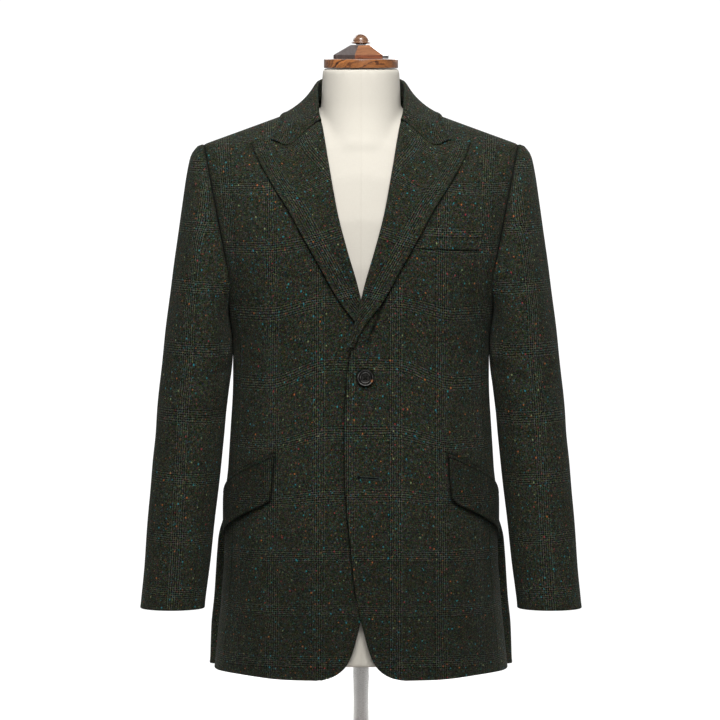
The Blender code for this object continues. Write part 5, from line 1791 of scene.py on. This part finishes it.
def disc(radius, low, high, rounded, steps=4):
    """Half section of a disc with rounded edges."""
    return arc_profile([(0.5, low), (radius, low), (radius, high), (0.5, high)], rounded, steps)


def neck_fittings():
    low, high = NECK_TOP + SEAM, NECK_TOP + CAP_HEIGHT
    lathe("wood_cap", "neck_cap", disc(CAP_RADIUS, low, high, 1.0), WOOD, 128, NECK_CENTRE)
    low = high + SEAM
    top = low + BLOCK_PLINTH + BLOCK_SLOPE
    levels = [(BLOCK_SIDE, low), (BLOCK_SIDE, low + BLOCK_PLINTH), (BLOCK_TOP_SIDE, top)]
    points, faces = lathe_points(levels, 6, NECK_CENTRE, BLOCK_TURN)
    block = link("wood_block", mesh_of("wood_block", points, faces, smooth_shade=False), WOOD_BLOCK)
    for number, (material, face_numbers) in enumerate(((WOOD_PAINTED_DARK_REFLECTION, PAINTED_DARK_REFLECTION_FACES), (WOOD_PLINTH, PLINTH_FACES)), 1):
        block.data.materials.append(material)
        for face in face_numbers:
            block.data.polygons[face].material_index = number
    bevel = block.modifiers.new("worn_edges", "BEVEL")
    bevel.width = 0.9 * MM
    bevel.segments = 3
    bevel.limit_method = "ANGLE"
    bevel.angle_limit = math.radians(20)
    bevel.harden_normals = True
    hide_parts("neck_block")
    knob = [(0.4, top + SEAM)] + [(radius, top + SEAM + height) for radius, height in FINIAL_PROFILE]
    lathe("wood_finial", "finial", arc_profile(knob, 1.6, 3), WOOD_FINIAL, 64, NECK_CENTRE)


def stand():
    low, high = BASE_HEIGHT + SEAM, FORM_BOTTOM - SEAM
    profile = [(POLE_RADIUS - 0.6, low), (POLE_RADIUS, low + 0.6), (POLE_RADIUS, high - 0.6), (POLE_RADIUS - 0.6, high)]
    lathe("steel_pole", "pole", profile, STEEL, 64)
    lathe("wood_base", "base", disc(BASE_RADIUS, 0.0, BASE_HEIGHT, 4.0, 5), WOOD_BASE, 128)


# ---------------------------------------------------------------- the whole jacket on its form


def line_on_front(places):
    return [on_face(FRONT, *place)[0] for place in places]


def flap_corner(run, drop):
    return skin(*pocket_place(run, drop))[0]


# Lines of the edges that lie on the foreparts, beside which the cloth gets a painted shadow.
OVERLAYS = [
    line_on_front([lapel_path(t, 1.0) for t in (0.02, 0.25, 0.5, 0.75, 1.0)]),
    line_on_front([lapel_path(1.0, s) for s in (1.0, 0.72)]),
    [flap_corner(0, -5), flap_corner(0, FLAP_DEPTH)],
    [flap_corner(run, FLAP_DEPTH) for run in (0, 48, 96, 141)],
    [flap_corner(run, -5.6) for run in (0, 48, 96, 141)],
]
# the left forepart's front edge, beside which the right forepart gets a painted shadow
FRONT_EDGE_LINE = [(front_edge_across(h), 0.0, h) for h in (225, 290, 360, 440, 500, 560)]
# the foreparts' tweed, painted darker beside these lines, round the top button and low on the skirt: painted shadow and
# shade
TWEED_FRONT_LEFT = tweed_material("tweed_front_left", 0.87, OVERLAYS, skirt=0.88, button_at=TOP_BUTTON)
TWEED_FRONT_RIGHT = tweed_material("tweed_front_right", 0.88, OVERLAYS, [FRONT_EDGE_LINE], skirt=0.88)

for side, mirror in (("left", False), ("right", True)):
    forepart(side, mirror)
    side_body(side, mirror)
    back_panel(side, mirror)
    sleeve("sleeve_top", "top_sleeve", side, mirror, HIND_ARM_SEAM - 360, FORE_ARM_SEAM, 37)
    sleeve("sleeve_under", "under_sleeve", side, mirror, FORE_ARM_SEAM, HIND_ARM_SEAM, 19)
    lapel(side, mirror)
    pocket_strip(f"pocket_flap_{side}", f"flap_{side}", mirror, FLAP)
    pocket_strip(f"pocket_jet_{side}", f"jet_{side}", mirror, JET)
collar()
breast_welt()
button("horn_button_top", "button_top", TOP_BUTTON, 0.0)
button("horn_button_low", "button_low", LOW_BUTTON, smooth(LAP_DEPTHS, "depth", LOW_BUTTON[1]))
buttonhole("buttonhole_low", LOWER_HOLE)
buttonhole("buttonhole_top", UPPER_HOLE)
form_torso()
neck_fittings()
stand()

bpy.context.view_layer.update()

# ---------------------------------------------------------------- studio

KEY_AIM, FILL_AIM = (0.0, 0.0, 1.05), (0.0, 0.0, 0.95)
FLOOR_AIM = (0.0, 0.9, 0.0)
BACK_RIGHT_AIM, BACK_LEFT_AIM = (0.0, 0.0, 0.75), (0.0, 0.0, 0.7)
WORLD_LIGHT, WORLD_SEEN = 0.25, 1.08
CAMERA_PLACE, CAMERA_AIM = (0.0, -8.0, 0.988), (0.0, 0.0, 0.547)
CAMERA_LENS = 286.1


def aimed(made, place, aim):
    made.location = place
    made.rotation_euler = (Vector(aim) - Vector(place)).to_track_quat("-Z", "Y").to_euler()
    return made


def light(name, place, aim, size, power, spread=180.0):
    lamp = bpy.data.lights.new(name, "AREA")
    lamp.shape = "RECTANGLE"
    lamp.size, lamp.size_y = size
    lamp.energy = power
    lamp.spread = math.radians(spread)
    aimed(new_object(name, lamp), place, aim)


def floor():
    """A pale round floor that fades out into the white of the studio."""
    sides, radii = 96, (0.3, 0.6, 0.9, FLOOR_RADIUS)
    angles = [math.tau * k / sides for k in range(sides)]
    points = [(0.0, 0.0, 0.0)]
    points += [(radius * math.cos(angle), radius * math.sin(angle), 0.0) for radius in radii for angle in angles]
    faces = [(0, 1 + k, 1 + (k + 1) % sides) for k in range(sides)]
    for first in range(1, 1 + (len(radii) - 1) * sides, sides):
        for k in range(sides):
            a, b = first + k, first + (k + 1) % sides
            faces.append((a, a + sides, b + sides, b))
    mesh = bpy.data.meshes.new("studio_floor")
    mesh.from_pydata(points, [], faces)
    mesh.shade_smooth()
    mesh.materials.append(floor_material())
    return new_object("studio_floor", mesh)


def studio_world(light_strength, seen_strength):
    """Even light from all round, behind which the camera sees plain white."""
    world = bpy.data.worlds.new("studio")
    world.use_nodes = True
    tree = world.node_tree
    background = tree.nodes["Background"]
    background.inputs["Color"].default_value = (1.0, 1.0, 1.0, 1.0)
    seen = tree.nodes.new("ShaderNodeLightPath")
    strength = tree.nodes.new("ShaderNodeMapRange")
    strength.inputs["To Min"].default_value = light_strength
    strength.inputs["To Max"].default_value = seen_strength
    tree.links.new(seen.outputs["Is Camera Ray"], strength.inputs["Value"])
    tree.links.new(strength.outputs["Result"], background.inputs["Strength"])
    bpy.context.scene.world = world


floor()
studio_world(WORLD_LIGHT, WORLD_SEEN)
light("key", (-0.02, -1.85, 2.65), KEY_AIM, (1.5, 0.8), 20.5, 64.0)
light("fill", (0.6, -3.2, 2.3), FILL_AIM, (1.8, 1.8), 8, 80.0)
light("over_floor", (0.0, 1.1, 2.2), FLOOR_AIM, (2.4, 0.5), 16, 60.0)
light("back_right", (1.5, 3.2, 2.2), BACK_RIGHT_AIM, (3.0, 2.0), 90)
light("back_left", (-1.9, 2.7, 2.5), BACK_LEFT_AIM, (2.2, 1.4), 50)
bpy.context.scene.view_settings.view_transform = "Standard"

camera = aimed(new_object("camera", bpy.data.cameras.new("camera")), CAMERA_PLACE, CAMERA_AIM)
camera.data.lens = CAMERA_LENS
camera.data.sensor_width = 36.0
camera.data.shift_x = -1 / 720
bpy.context.scene.camera = camera
